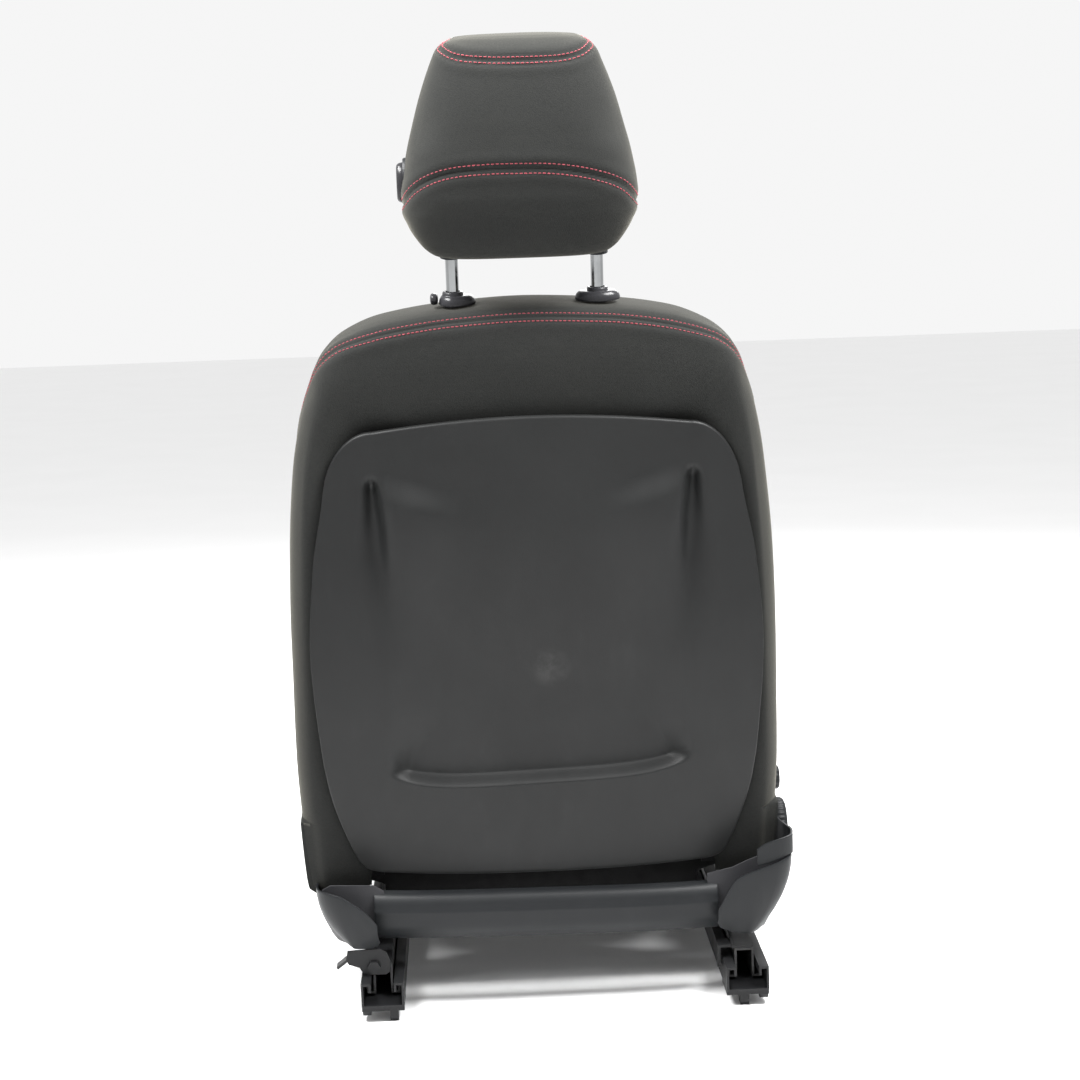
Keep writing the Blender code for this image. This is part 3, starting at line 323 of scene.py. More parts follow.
def shell_piece(name, grid, thickness, material, rim=MOULD_EDGE, offset=-1.0, sharp=40.0):
    """A moulded sheet over a grid of points, thickened, with its rim eased."""
    rows, columns = grid.shape[:2]
    made = new_object(name, grid.reshape(-1, 3), grid_faces(rows, columns, False), material, sharp)
    solid = made.modifiers.new("wall", "SOLIDIFY")
    solid.thickness = thickness
    solid.offset = offset
    if rim:
        soften(made, rim, 60.0)
    return made


def soften(obj, width, angle):
    """Rounds the edges of a piece without touching its mesh."""
    bevel = obj.modifiers.new("eased_edges", "BEVEL")
    bevel.width = width
    bevel.segments = 2
    bevel.limit_method = "ANGLE"
    bevel.angle_limit = math.radians(angle)


# ---------------------------------------------------------------- cloth
CLOTH_FRAMES, CLOTH_PRESSURE, CLOTH_STIFFNESS, CLOTH_QUALITY = 20, 4.0, 12.0, 5
FIELD_SMOOTHING = 3


def swelling(grid, cap, step_rows, step_columns):
    """How far each point of a closed ring grid moves when its cover is blown up as cloth, at most cap."""
    rows, columns = grid.shape[:2]
    r = np.unique(np.append(np.arange(0, rows, step_rows), rows - 1))
    c = np.arange(0, columns, step_columns)
    coarse = grid[r][:, c]
    pad = closed_piece("cloth_under_pressure", coarse, CLOTH)
    start = np.array([v.co for v in pad.data.vertices])
    cloth = pad.modifiers.new("pressure", "CLOTH")
    cloth.settings.quality = CLOTH_QUALITY
    cloth.settings.use_pressure = True
    cloth.settings.uniform_pressure_force = CLOTH_PRESSURE
    cloth.settings.tension_stiffness = CLOTH_STIFFNESS
    cloth.settings.compression_stiffness = CLOTH_STIFFNESS
    cloth.settings.effector_weights.gravity = 0.0
    cloth.point_cache.frame_start = 1
    cloth.point_cache.frame_end = CLOTH_FRAMES
    for moment in range(1, CLOTH_FRAMES + 1):
        bpy.context.scene.frame_set(moment)
    graph = bpy.context.evaluated_depsgraph_get()
    result = pad.evaluated_get(graph).to_mesh()
    moved = np.array([v.co for v in result.vertices]) - start
    bpy.data.objects.remove(pad)
    bpy.context.scene.frame_set(1)
    length = np.linalg.norm(moved, axis=1, keepdims=True)
    moved *= np.minimum(1.0, cap / np.maximum(length, 1e-9))
    field = moved[: len(r) * len(c)].reshape(len(r), len(c), 3)
    for _ in range(FIELD_SMOOTHING):
        field = (np.roll(field, 1, 1) + 2.0 * field + np.roll(field, -1, 1)) / 4.0
        field[1:-1] = (field[:-2] + 2.0 * field[1:-1] + field[2:]) / 4.0
    around = np.concatenate([field, field[:, :1]], axis=1)
    wide = curve(np.append(c, columns), np.swapaxes(around, 0, 1).reshape(len(c) + 1, -1), np.arange(columns))
    wide = wide.reshape(columns, len(r), 3)
    tall = curve(r, np.swapaxes(wide, 0, 1).reshape(len(r), -1), np.arange(rows))
    return tall.reshape(rows, columns, 3)


# ---------------------------------------------------------------- seams and stitching
def distance_to_path(points, path):
    """Distance of each point to a polyline, where that is small enough to matter."""
    best = np.full(len(points), 1e9)
    for a, b in zip(path[:-1], path[1:]):
        near = np.abs(points - (a + b) / 2.0).max(axis=1) < 0.03
        if not near.any():
            continue
        p = points[near]
        along = b - a
        u = np.clip(((p - a) @ along) / max(along @ along, 1e-12), 0.0, 1.0)
        gap = np.linalg.norm(p - (a + u[:, None] * along), axis=1)
        best[near] = np.minimum(best[near], gap)
    return best


def pressed_seams(grid, paths, depth, width, crown):
    """Sinks a groove along each path and raises the cloth gently beside it."""
    flat = grid.reshape(-1, 3)
    normal = outward(grid).reshape(-1, 3)
    sink = np.zeros(len(flat))
    for path in paths:
        gap = distance_to_path(flat, path)
        groove = -depth * np.exp(-((gap / width) ** 2))
        stitch_line = -0.35 * depth * np.exp(-(((gap - SEAM_TO_STITCH) / 0.0011) ** 2))
        lift = crown * np.exp(-(((gap - 0.0105) / 0.0058) ** 2))
        sink += groove + stitch_line + lift
    return (flat + normal * sink[:, None]).reshape(grid.shape)


def resampled(path, spacing):
    run = chord(path)
    count = max(2, int(run[-1] / spacing))
    at = (np.arange(count) + 0.5) * run[-1] / count
    return np.stack([np.interp(at, run, path[:, k]) for k in range(3)], axis=1)


def guide_of(grid):
    """The cover's surface before its seams are pressed in, to measure offsets along."""
    rows, columns = grid.shape[:2]
    return BVHTree.FromPolygons([tuple(p) for p in grid.reshape(-1, 3)], grid_faces(rows, columns, True))


def stitched(name, surface, guide, path, offsets, body):
    """Rows of short thread ends laid on a surface beside a path, as one piece."""
    ring, bars = THREAD_SIDES, []
    for offset in offsets:
        points = resampled(path, STITCH_PITCH)
        along = np.gradient(points, axis=0)
        along /= np.linalg.norm(along, axis=1, keepdims=True)
        row = []
        normals = np.array([guide.find_nearest(Vector(point))[1] for point in points])
        normals[1:-1] = (normals[:-2] + 2.0 * normals[1:-1] + normals[2:]) / 4.0
        for point, direction, facing in zip(points, along, normals):
            aside = np.cross(facing, direction)
            aside /= np.linalg.norm(aside)
            aimed = guide.find_nearest(Vector(point + aside * offset))[0]
            spot, normal, _, _ = surface.find_nearest(aimed)
            row.append((np.array(spot), np.array(normal), direction))
        bars += row
    vertices, faces = [], []
    profile = ((-0.5, 0.25), (-0.42, 0.8), (-0.2, 1.0), (0.2, 1.0), (0.42, 0.8), (0.5, 0.25))
    for spot, normal, direction in bars:
        direction = direction - normal * (direction @ normal)
        direction /= np.linalg.norm(direction)
        aside = np.cross(normal, direction)
        base = len(vertices)
        for share, swell in profile:
            sink = THREAD_R * (0.35 - 1.1 * (2 * share) ** 4)
            centre = spot + direction * share * STITCH_LENGTH + normal * sink
            for k in range(ring):
                turn = 2.0 * math.pi * k / ring
                vertices.append(centre + THREAD_R * swell * (aside * math.cos(turn) + normal * math.sin(turn)))
        for level in range(len(profile) - 1):
            for k in range(ring):
                j = (k + 1) % ring
                a = base + level * ring
                faces.append((a + k, a + j, a + ring + j, a + ring + k))
        faces.append(tuple(base + k for k in reversed(range(ring))))
        faces.append(tuple(base + (len(profile) - 1) * ring + k for k in range(ring)))
    place_piece(facing_out(new_object(name, vertices, faces, THREAD)), body, "seat_fabric")


# ---------------------------------------------------------------- materials
class Shader:
    """A material under construction: nodes by short calls."""

    def __init__(self, name, roughness, metallic=0.0):
        self.material = bpy.data.materials.new(name)
        self.material.use_nodes = True
        self.tree = self.material.node_tree
        self.bsdf = self.tree.nodes["Principled BSDF"]
        self.bsdf.inputs["Roughness"].default_value = roughness
        self.bsdf.inputs["Metallic"].default_value = metallic
        self.place = self.node("ShaderNodeTexCoord").outputs["Object"]

    def node(self, kind, **settings):
        made = self.tree.nodes.new(kind)
        for key, value in settings.items():
            setattr(made, key, value)
        return made

    def link(self, source, socket):
        self.tree.links.new(source, socket)

    def stretched(self, scale):
        mapping = self.node("ShaderNodeMapping")
        mapping.inputs["Scale"].default_value = scale
        self.link(self.place, mapping.inputs["Vector"])
        return mapping.outputs["Vector"]

    def noise(self, scale, detail=3.0, roughness=0.55, place=None):
        made = self.node("ShaderNodeTexNoise")
        made.inputs["Scale"].default_value = scale
        made.inputs["Detail"].default_value = detail
        made.inputs["Roughness"].default_value = roughness
        self.link(place or self.place, made.inputs["Vector"])
        return made.outputs["Fac"]

    def cells(self, scale, feature="F1", randomness=1.0, place=None):
        made = self.node("ShaderNodeTexVoronoi", feature=feature)
        made.inputs["Scale"].default_value = scale
        made.inputs["Randomness"].default_value = randomness
        self.link(place or self.place, made.inputs["Vector"])
        return made.outputs["Distance"]

    def math(self, operation, a, b=None, clamp=False):
        made = self.node("ShaderNodeMath", operation=operation, use_clamp=clamp)
        for socket, value in zip(made.inputs, (a, b)):
            if value is None:
                continue
            if isinstance(value, (int, float)):
                socket.default_value = value
            else:
                self.link(value, socket)
        return made.outputs[0]

    def spread(self, value, low, high, out_low=0.0, out_high=1.0):
        made = self.node("ShaderNodeMapRange")
        made.inputs["From Min"].default_value = low
        made.inputs["From Max"].default_value = high
        made.inputs["To Min"].default_value = out_low
        made.inputs["To Max"].default_value = out_high
        self.link(value, made.inputs["Value"])
        return made.outputs["Result"]

    def blend(self, share, first, second):
        made = self.node("ShaderNodeMix", data_type="RGBA")
        self.link(share, made.inputs["Factor"])
        for socket, value in ((made.inputs["A"], first), (made.inputs["B"], second)):
            if isinstance(value, tuple):
                socket.default_value = (*value, 1.0)
            else:
                self.link(value, socket)
        return made.outputs["Result"]

    def paint(self, colour):
        self.link(colour, self.bsdf.inputs["Base Color"])
        return self

    def rough(self, value):
        self.link(value, self.bsdf.inputs["Roughness"])
        return self

    def bump(self, height, strength, distance, under=None):
        made = self.node("ShaderNodeBump")
        made.inputs["Strength"].default_value = strength
        made.inputs["Distance"].default_value = distance
        self.link(height, made.inputs["Height"])
        if under is not None:
            self.link(under, made.inputs["Normal"])
        self.link(made.outputs["Normal"], self.bsdf.inputs["Normal"])
        return made.outputs["Normal"]

    def sheen(self, weight, roughness, tint):
        self.bsdf.inputs["Sheen Weight"].default_value = weight
        self.bsdf.inputs["Sheen Roughness"].default_value = roughness
        self.bsdf.inputs["Sheen Tint"].default_value = (*tint, 1.0)
        return self


def knit_cloth(name, dark, light):
    """Fine knitted cloth: small loops in offset courses, slubs and a soft nap."""
    cloth = Shader(name, 0.93)
    cloth.bsdf.inputs["Specular IOR Level"].default_value = 0.15
    loops = cloth.cells(820.0, randomness=0.85, place=cloth.stretched((1.0, 1.0, 1.45)))
    fibre = cloth.noise(2600.0, 2.0)
    slub = cloth.noise(140.0, 3.0, place=cloth.stretched((1.0, 1.0, 4.0)))
    mottle = cloth.noise(11.0, 4.0)
    height = cloth.math("ADD", cloth.spread(loops, 0.0, 0.75, 1.0, 0.0), cloth.math("MULTIPLY", fibre, 0.35))
    share = cloth.math("ADD", cloth.math("MULTIPLY", height, 0.3), cloth.math("MULTIPLY", slub, 0.3))
    share = cloth.math("MULTIPLY", share, cloth.spread(mottle, 0.25, 0.75, 0.82, 1.12), clamp=True)
    cloth.paint(cloth.blend(share, dark, light))
    cloth.rough(cloth.spread(slub, 0.2, 0.8, 0.86, 0.98))
    cloth.bump(height, 0.4, 0.0003)
    cloth.sheen(0.14, 0.45, (0.9, 0.86, 0.72))
    return cloth.material


def felt_cloth(name, dark, light):
    felt = Shader(name, 0.96)
    felt.bsdf.inputs["Specular IOR Level"].default_value = 0.05
    fluff = felt.noise(900.0, 5.0, 0.7)
    mottle = felt.noise(45.0, 3.0)
    felt.paint(felt.blend(felt.math("MULTIPLY", fluff, mottle, clamp=True), dark, light))
    felt.bump(fluff, 0.7, 0.0006)
    felt.sheen(0.25, 0.5, (0.6, 0.6, 0.6))
    return felt.material


def grained_plastic(name, dark, light, roughness, grain=1150.0, depth=0.00016, scuff=None):
    """Moulded plastic: a fine pebbled grain, broad tone changes, faint rubbing and dust."""
    plastic = Shader(name, roughness)
    plastic.bsdf.inputs["Specular IOR Level"].default_value = 0.17
    pebble = plastic.cells(grain, "SMOOTH_F1", 0.9)
    fine = plastic.noise(grain * 2.2, 2.0)
    tone = plastic.noise(5.0, 3.0)
    rub = plastic.noise(38.0, 5.0, 0.7, plastic.stretched((1.0, 1.0, 0.35)))
    colour = plastic.blend(plastic.spread(tone, 0.3, 0.7), dark, light)
    rubbed = plastic.spread(rub, 0.58, 0.8)
    paler = tuple(min(1.0, c * 1.5) for c in light)
    colour = plastic.blend(plastic.math("MULTIPLY", rubbed, 0.3), colour, paler)
    if scuff is not None:
        middle, reach = scuff
        gap = plastic.node("ShaderNodeVectorMath", operation="DISTANCE")
        gap.inputs[1].default_value = middle
        plastic.link(plastic.place, gap.inputs[0])
        near = plastic.spread(gap.outputs["Value"], 0.2 * reach, reach, 1.0, 0.0)
        mark = plastic.spread(plastic.noise(48.0, 5.0, 0.65), 0.36, 0.72)
        share = plastic.math("MULTIPLY", plastic.math("MULTIPLY", near, mark), 0.24, clamp=True)
        colour = plastic.blend(share, colour, (0.1, 0.1, 0.098))
    plastic.paint(colour)
    wear = plastic.math("ADD", plastic.spread(fine, 0.3, 0.7, -0.05, 0.05),
                        plastic.spread(rub, 0.3, 0.8, 0.05, -0.07))
    plastic.rough(plastic.math("ADD", wear, roughness, clamp=True))
    height = plastic.math("ADD", plastic.spread(pebble, 0.0, 0.8), plastic.math("MULTIPLY", fine, 0.3))
    plastic.bump(height, 0.45, depth)
    return plastic.material


def coated_steel(name, dark, light, roughness, metallic, brushed=False):
    """Pressed steel under a thin coat: orange peel, scratches down to paler metal, and dust."""
    steel = Shader(name, roughness, metallic)
    steel.bsdf.inputs["Specular IOR Level"].default_value = 0.22
    peel = steel.noise(420.0, 3.0)
    along = (1.0, 0.06, 1.0) if brushed else (1.0, 1.0, 1.0)
    scratch = steel.noise(260.0, 6.0, 0.75, steel.stretched(along))
    stain = steel.noise(17.0, 5.0, 0.65)
    colour = steel.blend(steel.spread(stain, 0.35, 0.72), dark, light)
    bright = tuple(min(1.0, c * 2.4 + 0.02) for c in light)
    colour = steel.blend(steel.math("MULTIPLY", steel.spread(scratch, 0.62, 0.78), 0.55), colour, bright)
    steel.paint(colour)
    steel.rough(steel.math("ADD", steel.spread(stain, 0.3, 0.7, -0.08, 0.12), roughness, clamp=True))
    steel.bump(steel.math("ADD", peel, steel.math("MULTIPLY", scratch, 0.4)), 0.25, 0.0002)
    return steel.material


def chromed(name):
    chrome = Shader(name, 0.1, 1.0)
    haze = chrome.noise(60.0, 4.0)
    fine = chrome.noise(900.0, 2.0, place=chrome.stretched((1.0, 1.0, 0.04)))
    chrome.paint(chrome.blend(haze, (0.3, 0.31, 0.31), (0.44, 0.45, 0.46)))
    chrome.rough(chrome.spread(haze, 0.3, 0.7, 0.07, 0.18))
    chrome.bump(fine, 0.12, 0.00005)
    return chrome.material


def twisted_thread(name, dark, light):
    thread = Shader(name, 0.62)
    twist = thread.node("ShaderNodeTexWave", wave_type="BANDS", bands_direction="DIAGONAL")
    twist.inputs["Scale"].default_value = 420.0
    twist.inputs["Distortion"].default_value = 1.5
    thread.link(thread.place, twist.inputs["Vector"])
    tone = thread.noise(120.0, 2.0)
    share = thread.math("MULTIPLY", twist.outputs["Fac"], thread.spread(tone, 0.3, 0.7, 0.6, 1.1), clamp=True)
    thread.paint(thread.blend(share, dark, light))
    thread.bump(twist.outputs["Fac"], 0.5, 0.0001)
    thread.sheen(0.2, 0.4, (1.0, 0.7, 0.7))
    return thread.material


SCUFF_SPOT = tuple(back_point(-0.012, 0.062, 0.243))
CLOTH = knit_cloth("charcoal_knit", (0.005, 0.0056, 0.0058), (0.029, 0.0294, 0.0275))
FELT = felt_cloth("black_felt", (0.006, 0.006, 0.006), (0.03, 0.03, 0.031))
THREAD = twisted_thread("red_thread", (0.1, 0.004, 0.01), (0.27, 0.015, 0.032))
TRIM = grained_plastic("grained_trim", (0.0064, 0.0072, 0.008), (0.0096, 0.0104, 0.0113), 0.45)
PANEL = grained_plastic("grained_panel", (0.008, 0.0083, 0.0083), (0.0108, 0.0112, 0.0112), 0.46, 1400.0, 0.00012,
                        (SCUFF_SPOT, 0.026))
GLOSS = grained_plastic("satin_trim", (0.012, 0.012, 0.013), (0.022, 0.022, 0.024), 0.24, 700.0, 0.00005)
BLACK_STEEL = coated_steel("black_coated_steel", (0.004, 0.0041, 0.0045), (0.0095, 0.0098, 0.0105), 0.46, 0.0)
ZINC = coated_steel("zinc_plated_steel", (0.02, 0.0205, 0.021), (0.04, 0.04, 0.039), 0.4, 0.5, True)
CHROME = chromed("polished_chrome")
CORE = grained_plastic("core_moulding", (0.016, 0.016, 0.018), (0.026, 0.026, 0.028), 0.55, 900.0, 0.0001)
FINISHES = {"seat_fabric": CLOTH, "trim_plastic": TRIM, "panel_plastic": PANEL, "black_steel": BLACK_STEEL,
            "zinc_steel": ZINC, "chrome": CHROME, "core_plastic": CORE}


def place_piece(made, body, slot, *nodes):
    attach(made, body)
    if nodes:
        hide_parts(*nodes)


def padded_cover(name, grid, body, fill, *nodes):
    """A closed cloth cover, and its surface to lay stitches on."""
    cover = closed_piece(name, grid, CLOTH)
    place_piece(cover, body, "seat_fabric", *nodes)
    return BVHTree.FromObject(cover, bpy.context.evaluated_depsgraph_get())


# ---------------------------------------------------------------- backrest cover
COVER_SAMPLES = (4, 10, 12, 10, 7, 6, 8, 7, 7, 6, 7, 8, 8, 5, 4, 4, 4, 4, 4, 6)  # between the section's 20 points


def cover_section(s, top, length):
    """Section points (inward distance, t) of the cover: a side roll, or the padded top, or between them."""
    heel, tip = table(COVER_HEEL, s), table(COVER_TIP, s)
    side = [(length, heel - 0.01), (0.62 * length, heel - 0.0005), (0.34 * length, heel + 0.002),
            (0.012, heel - 0.0035), (0.0022, heel - 0.019), (0.0, heel - 0.04), (0.0, tip + 0.056),
            (0.005, tip + 0.023), (0.0175, tip + 0.005), (0.035, tip), (0.059, tip + 0.002),
            (0.083, tip + 0.02), (0.111, -0.054), (0.118, -0.043), (0.118, -0.031), (0.09, -0.0285),
            (0.068, -0.0285), (0.0664, 0.0), (0.0664, 0.025), (length, heel - 0.014)]
    high = [(length, 0.04), (0.096, 0.044), (0.052, 0.0475), (0.017, 0.044), (0.005, 0.033), (0.0, 0.016),
            (0.0, -0.024), (0.003, -0.045), (0.009, -0.056), (0.017, -0.0605), (0.0255, -0.0625),
            (0.034, -0.062), (0.041, -0.059), (0.045, -0.05), (0.045, -0.037), (0.04, -0.03),
            (0.0355, -0.02), (0.0355, 0.012), (0.052, 0.036), (length, 0.0365)]
    side = np.array([[np.broadcast_to(v, s.shape) for v in p] for p in side])
    high = np.array([[np.broadcast_to(v, s.shape) for v in p] for p in high])
    return np.moveaxis(side * (1.0 - top) + high * top, -1, 0)


def cover_grid():
    outer, inner = mirrored(COVER_OUTER), mirrored(COVER_INNER)
    run = chord(outer)
    even = np.linspace(0.0, run[-1], 380)
    shelf = np.interp(SHELF_S, outer[:, 1][:5], run[:5])
    fine = shelf + np.linspace(-SHELF_STEP, 0.0012, 6)
    at = np.unique(np.concatenate([even, fine, run[-1] - fine]))
    outer[:, 0] += OUTER_SIDE_SLIM * (outer[:, 0] < 0.0) * (1.0 - smooth(0.47, 0.6, outer[:, 1]))
    rim, tuck = curve(run, outer, at), curve(run, inner, at)
    reach = tuck - rim
    length = np.linalg.norm(reach, axis=1)
    direction = reach / length[:, None]
    s = rim[:, 1]
    top = (1.0 - smooth(0.165, 0.235, np.abs(rim[:, 0]))) * smooth(0.52, 0.59, s)
    control = cover_section(s, top, length)
    low = 1.0 - smooth(SHELF_S - SHELF_STEP, SHELF_S, s)
    flat_t = np.maximum(control[:, :, 1], CORNER_FACE)
    flat_d = np.minimum(control[:, :, 0], length[:, None])
    control[:, :, 1] += (flat_t - control[:, :, 1]) * low[:, None]
    control[:, :, 0] += (flat_d - control[:, :, 0]) * low[:, None]
    at_w, weights = ring_weights(len(COVER_SAMPLES), COVER_SAMPLES)
    section = np.einsum("mk,ukc->umc", weights, control)
    place = rim[:, None, :] + direction[:, None, :] * section[:, :, :1]
    return back_point(place[:, :, 0], section[:, :, 1], place[:, :, 1]), at_w, rim


def path_on_ring(grid, at_w, wanted):
    """One point on each ring, at the wanted place round it."""
    return np.array([[np.interp(w, at_w, ring[:, k]) for k in range(3)] for ring, w in zip(grid, wanted)])


def backrest_cover():
    grid, at_w, rim = cover_grid()
    shown = np.where((at_w < 12.6), 1.0, 0.0) * smooth(0.0, 1.2, at_w)
    corner_guard = 0.35 + 0.65 * smooth(-0.01, 0.05, rim[:, 1])
    swell = swelling(grid, COVER_SWELL, 5, 3)
    grid = grid + swell * shown[None, :, None] * corner_guard[:, None, None]
    grid = grid + outward(grid) * (ripple(grid, 24.0, 0.0007) * shown[None, :])[..., None]
    seam = path_on_ring(grid, at_w, table(SEAM_W, rim[:, 1]))[rim[:, 1] > 0.075]
    guide = guide_of(grid)
    grid = pressed_seams(grid, [seam], 0.0022, 0.0017, 0.0009)
    surface = padded_cover("backrest_cover", capped(grid, 3), "backrest", 0.85,
                           "back_bolster_left", "back_bolster_right", "back_foam_top")
    stitched("backrest_top_stitching", surface, guide, seam, BOTH_SIDES, "backrest")


def backrest_middle():
    """Pad between the side rolls, with three sewn channels across it."""
    stations = ((0.053, -0.04, -0.052), (0.056, -0.034, -0.06), (0.07, -0.03, -0.068), (0.12, -0.0295, -0.073),
                (0.18, -0.0295, -0.077), (0.3, -0.0295, -0.073), (0.46, -0.0295, -0.064), (0.56, -0.0295, -0.059),
                (0.59, -0.03, -0.057), (0.6, -0.034, -0.053), (0.604, -0.04, -0.047))
    s_knots = [row[0] for row in stations]
    s = np.unique(np.concatenate([np.linspace(0.053, 0.604, 210), np.linspace(0.053, 0.06, 8)]))
    values = curve(s_knots, np.array([row[1:] for row in stations]), s)
    rear, front = values[:, :1], values[:, 1:]
    ends = np.minimum(smooth(0.0525, 0.062, s), smooth(0.6045, 0.594, s))[:, None]
    wider = 0.03 * smooth(0.4, 0.5, s)[:, None] - 0.02 * smooth(0.56, 0.6, s)[:, None]
    width = (PAD_HALF + wider) * (0.955 + 0.045 * ends)
    ring = [(-1.0, 0.0, 0.12), (-0.985, 0.0, 0.0), (-0.5, 0.0, 0.0), (0.0, 0.0, 0.0), (0.5, 0.0, 0.0),
            (0.985, 0.0, 0.0), (1.0, 0.0, 0.12), (1.0, 1.0, -0.35), (0.985, 1.0, -0.1), (0.9, 1.0, 0.02),
            (0.5, 1.0, 0.06), (0.0, 1.0, 0.05), (-0.5, 1.0, 0.06), (-0.9, 1.0, 0.02), (-0.985, 1.0, -0.1), (-1.0, 1.0, -0.35)]
    control = []
    for across, face, bulge in ring:
        depth = rear + (front - rear) * (face + bulge)
        control.append(np.concatenate([across * width, depth], axis=1))
    control = np.moveaxis(np.array(control), 0, 1)
    at_w, weights = ring_weights(len(ring), (4, 8, 8, 8, 8, 4, 4, 4, 6, 14, 16, 16, 14, 6, 4, 4))
    section = np.einsum("mk,ukc->umc", weights, control)
    grid = back_point(section[:, :, 0], section[:, :, 1], s[:, None] * np.ones(len(at_w)))
    mask = band(at_w, 7.5, 9.5, 13.5, 15.5)[None, :] * band(s, 0.06, 0.09, 0.56, 0.6)[:, None]
    grid = grid + swelling(grid, PAD_SWELL, 4, 3) * mask[..., None]
    across = (at_w > 8.6) & (at_w < 14.4)
    lines = [grid[np.abs(s - level).argmin()][across] for level in BACK_CHANNELS]
    guide = guide_of(grid)
    grid = pressed_seams(grid, lines, depth=0.0032, width=0.0024, crown=0.0016)
    surface = padded_cover("backrest_middle_pad", grid, "backrest", 0.75, "back_foam_centre")
    for i, line in enumerate(lines):
        stitched(f"backrest_channel_stitching_{i + 1}", surface, guide, line, (SEAM_TO_STITCH,), "backrest")


# ---------------------------------------------------------------- rear panel
def ledge_height(x):
    """Height of the shelf along the bottom of the recess: a shallow smile, leaning up on one side."""
    return 0.1078 - 0.0045 * x / 0.17 + 0.019 * (np.abs(x) / 0.172) ** 5


def recess(x, s):
    """How far the rear panel is pressed in to give knee room."""
    soft = 0.105 + 0.04 * (1.0 - smooth(0.12, 0.2, s))
    wall = 1.0 - smooth(0.0, 1.0, (np.abs(x) - soft) / (0.178 - soft))
    top = 1.0 - smooth(0.25, 0.455, s + 0.05 * (1.0 - (np.minimum(np.abs(x), 0.16) / 0.16) ** 2))
    shelf = smooth(0.0, 0.013, s - ledge_height(x)) * (1.0 - smooth(0.158, 0.18, np.abs(x)))
    return RECESS_DEPTH * wall * (0.1 + 0.9 * top) * (1.0 - smooth(0.44, 0.49, s)) * shelf


def shoulders(x, s):
    """Swells inside each upper corner of the recess, highest just under the corner."""
    across = np.exp(-(((np.abs(x) - 0.128) / 0.046) ** 2)) * (1.0 - smooth(0.158, 0.171, np.abs(x)))
    rise = 1.0 - smooth(0.438, 0.474, s + 0.014 * (0.16 - np.minimum(np.abs(x), 0.16)) / 0.05)
    return 0.01 * across * rise * smooth(0.27, 0.43, s)


def side_hollows(x, s):
    """Tapering hollows that run down from each upper corner of the recess."""
    middle = 0.1745 - 0.0085 * (1.0 - smooth(0.28, 0.465, s))
    width = 0.0065 + 0.0095 * (1.0 - smooth(0.37, 0.472, s))
    return 0.0115 * band(s, 0.24, 0.4, 0.452, 0.47) * np.exp(-(((np.abs(x) - middle) / width) ** 2))


def rear_panel():
    u = np.sin(np.linspace(-1.0, 1.0, 241) * math.pi / 2.0) * 0.45 + np.linspace(-1.0, 1.0, 241) * 0.55
    v = np.unique(np.concatenate([np.linspace(0.0, 1.0, 200), np.linspace(0.19, 0.27, 60),
                                  np.linspace(0.97, 1.0, 12)]))
    uu, vv = np.meshgrid(u, v)
    corner = np.clip((np.abs(uu) - 0.78) / 0.22, 0.0, 1.0)
    top = 0.525 - 0.013 * (np.minimum(np.abs(uu), 0.78) / 0.78) ** 2 - 0.066 * (1.0 - np.sqrt(1.0 - corner ** 2))
    foot = np.clip((np.abs(uu) - 0.9) / 0.1, 0.0, 1.0)
    bottom = -0.004 + 0.004 * uu * uu + 0.01 * (1.0 - np.sqrt(1.0 - foot ** 2))
    s = bottom + (top - bottom) * vv
    x = uu * table(PANEL_WIDTH, s.ravel()).reshape(s.shape)
    t = table(PANEL_DEPTH, s.ravel()).reshape(s.shape) - 0.013 * np.abs(uu) ** 2.6
    t = t - recess(x, s) - side_hollows(x, s) + shoulders(x, s)
    grid = back_point(x, t, s)
    # the rim is rolled forward over the last few millimetres
    rolls = ((0.0016, 0.0006), (0.0024, 0.0022), (0.0026, 0.006))

    def rolled(edge, neighbour):
        away = edge - neighbour
        away /= np.linalg.norm(away, axis=-1, keepdims=True)
        return [edge + away * out - REARWARD * drop for out, drop in rolls]

    left, right = rolled(grid[:, 0], grid[:, 1]), rolled(grid[:, -1], grid[:, -2])
    grid = np.concatenate([np.stack(left[::-1], 1), grid, np.stack(right, 1)], axis=1)
    low, high = rolled(grid[0], grid[1]), rolled(grid[-1], grid[-2])
    grid = np.concatenate([np.stack(low[::-1], 0), grid, np.stack(high, 0)], axis=0)
    panel = shell_piece("rear_panel_moulding", grid[:, ::-1], 0.0022, PANEL, rim=0.0, sharp=None)
    place_piece(panel, "backrest", "panel_plastic", "rear_panel")


# ---------------------------------------------------------------- headrest
def head_ring(half, rear, front, turns):
    middle, reach = (rear + front) / 2.0, (rear - front) / 2.0
    c, d = np.cos(turns), np.sin(turns)
    x = HEAD_SHIFT + half * np.sign(c) * np.abs(c) ** HEAD_SQUARE
    t = middle + reach * np.sign(d) * np.abs(d) ** HEAD_SQUARE
    return x, t


def head_level_path(grid, levels, seam, rearness, front_height):
    """A closed line round the headrest, its height set by how far across it is, level along the front."""
    knots, seam_heights = np.array(seam).T
    heights = []
    for k, rear in enumerate(rearness):
        height = seam_heights.max()
        for _ in range(6):
            across = np.interp(height, levels, grid[:, k, 0]) - MID_X
            height = 0.5 * height + 0.5 * float(curve(knots, seam_heights, across))
        heights.append(height if rear >= 0.0 else front_height)
    heights = np.array(heights)
    for _ in range(HEAD_SEAM_SMOOTHING):
        heights = 0.25 * np.roll(heights, 1) + 0.5 * heights + 0.25 * np.roll(heights, -1)
    path = [[np.interp(height, levels, grid[:, k, axis]) for axis in range(3)] for k, height in enumerate(heights)]
    return np.array(path + path[:1])


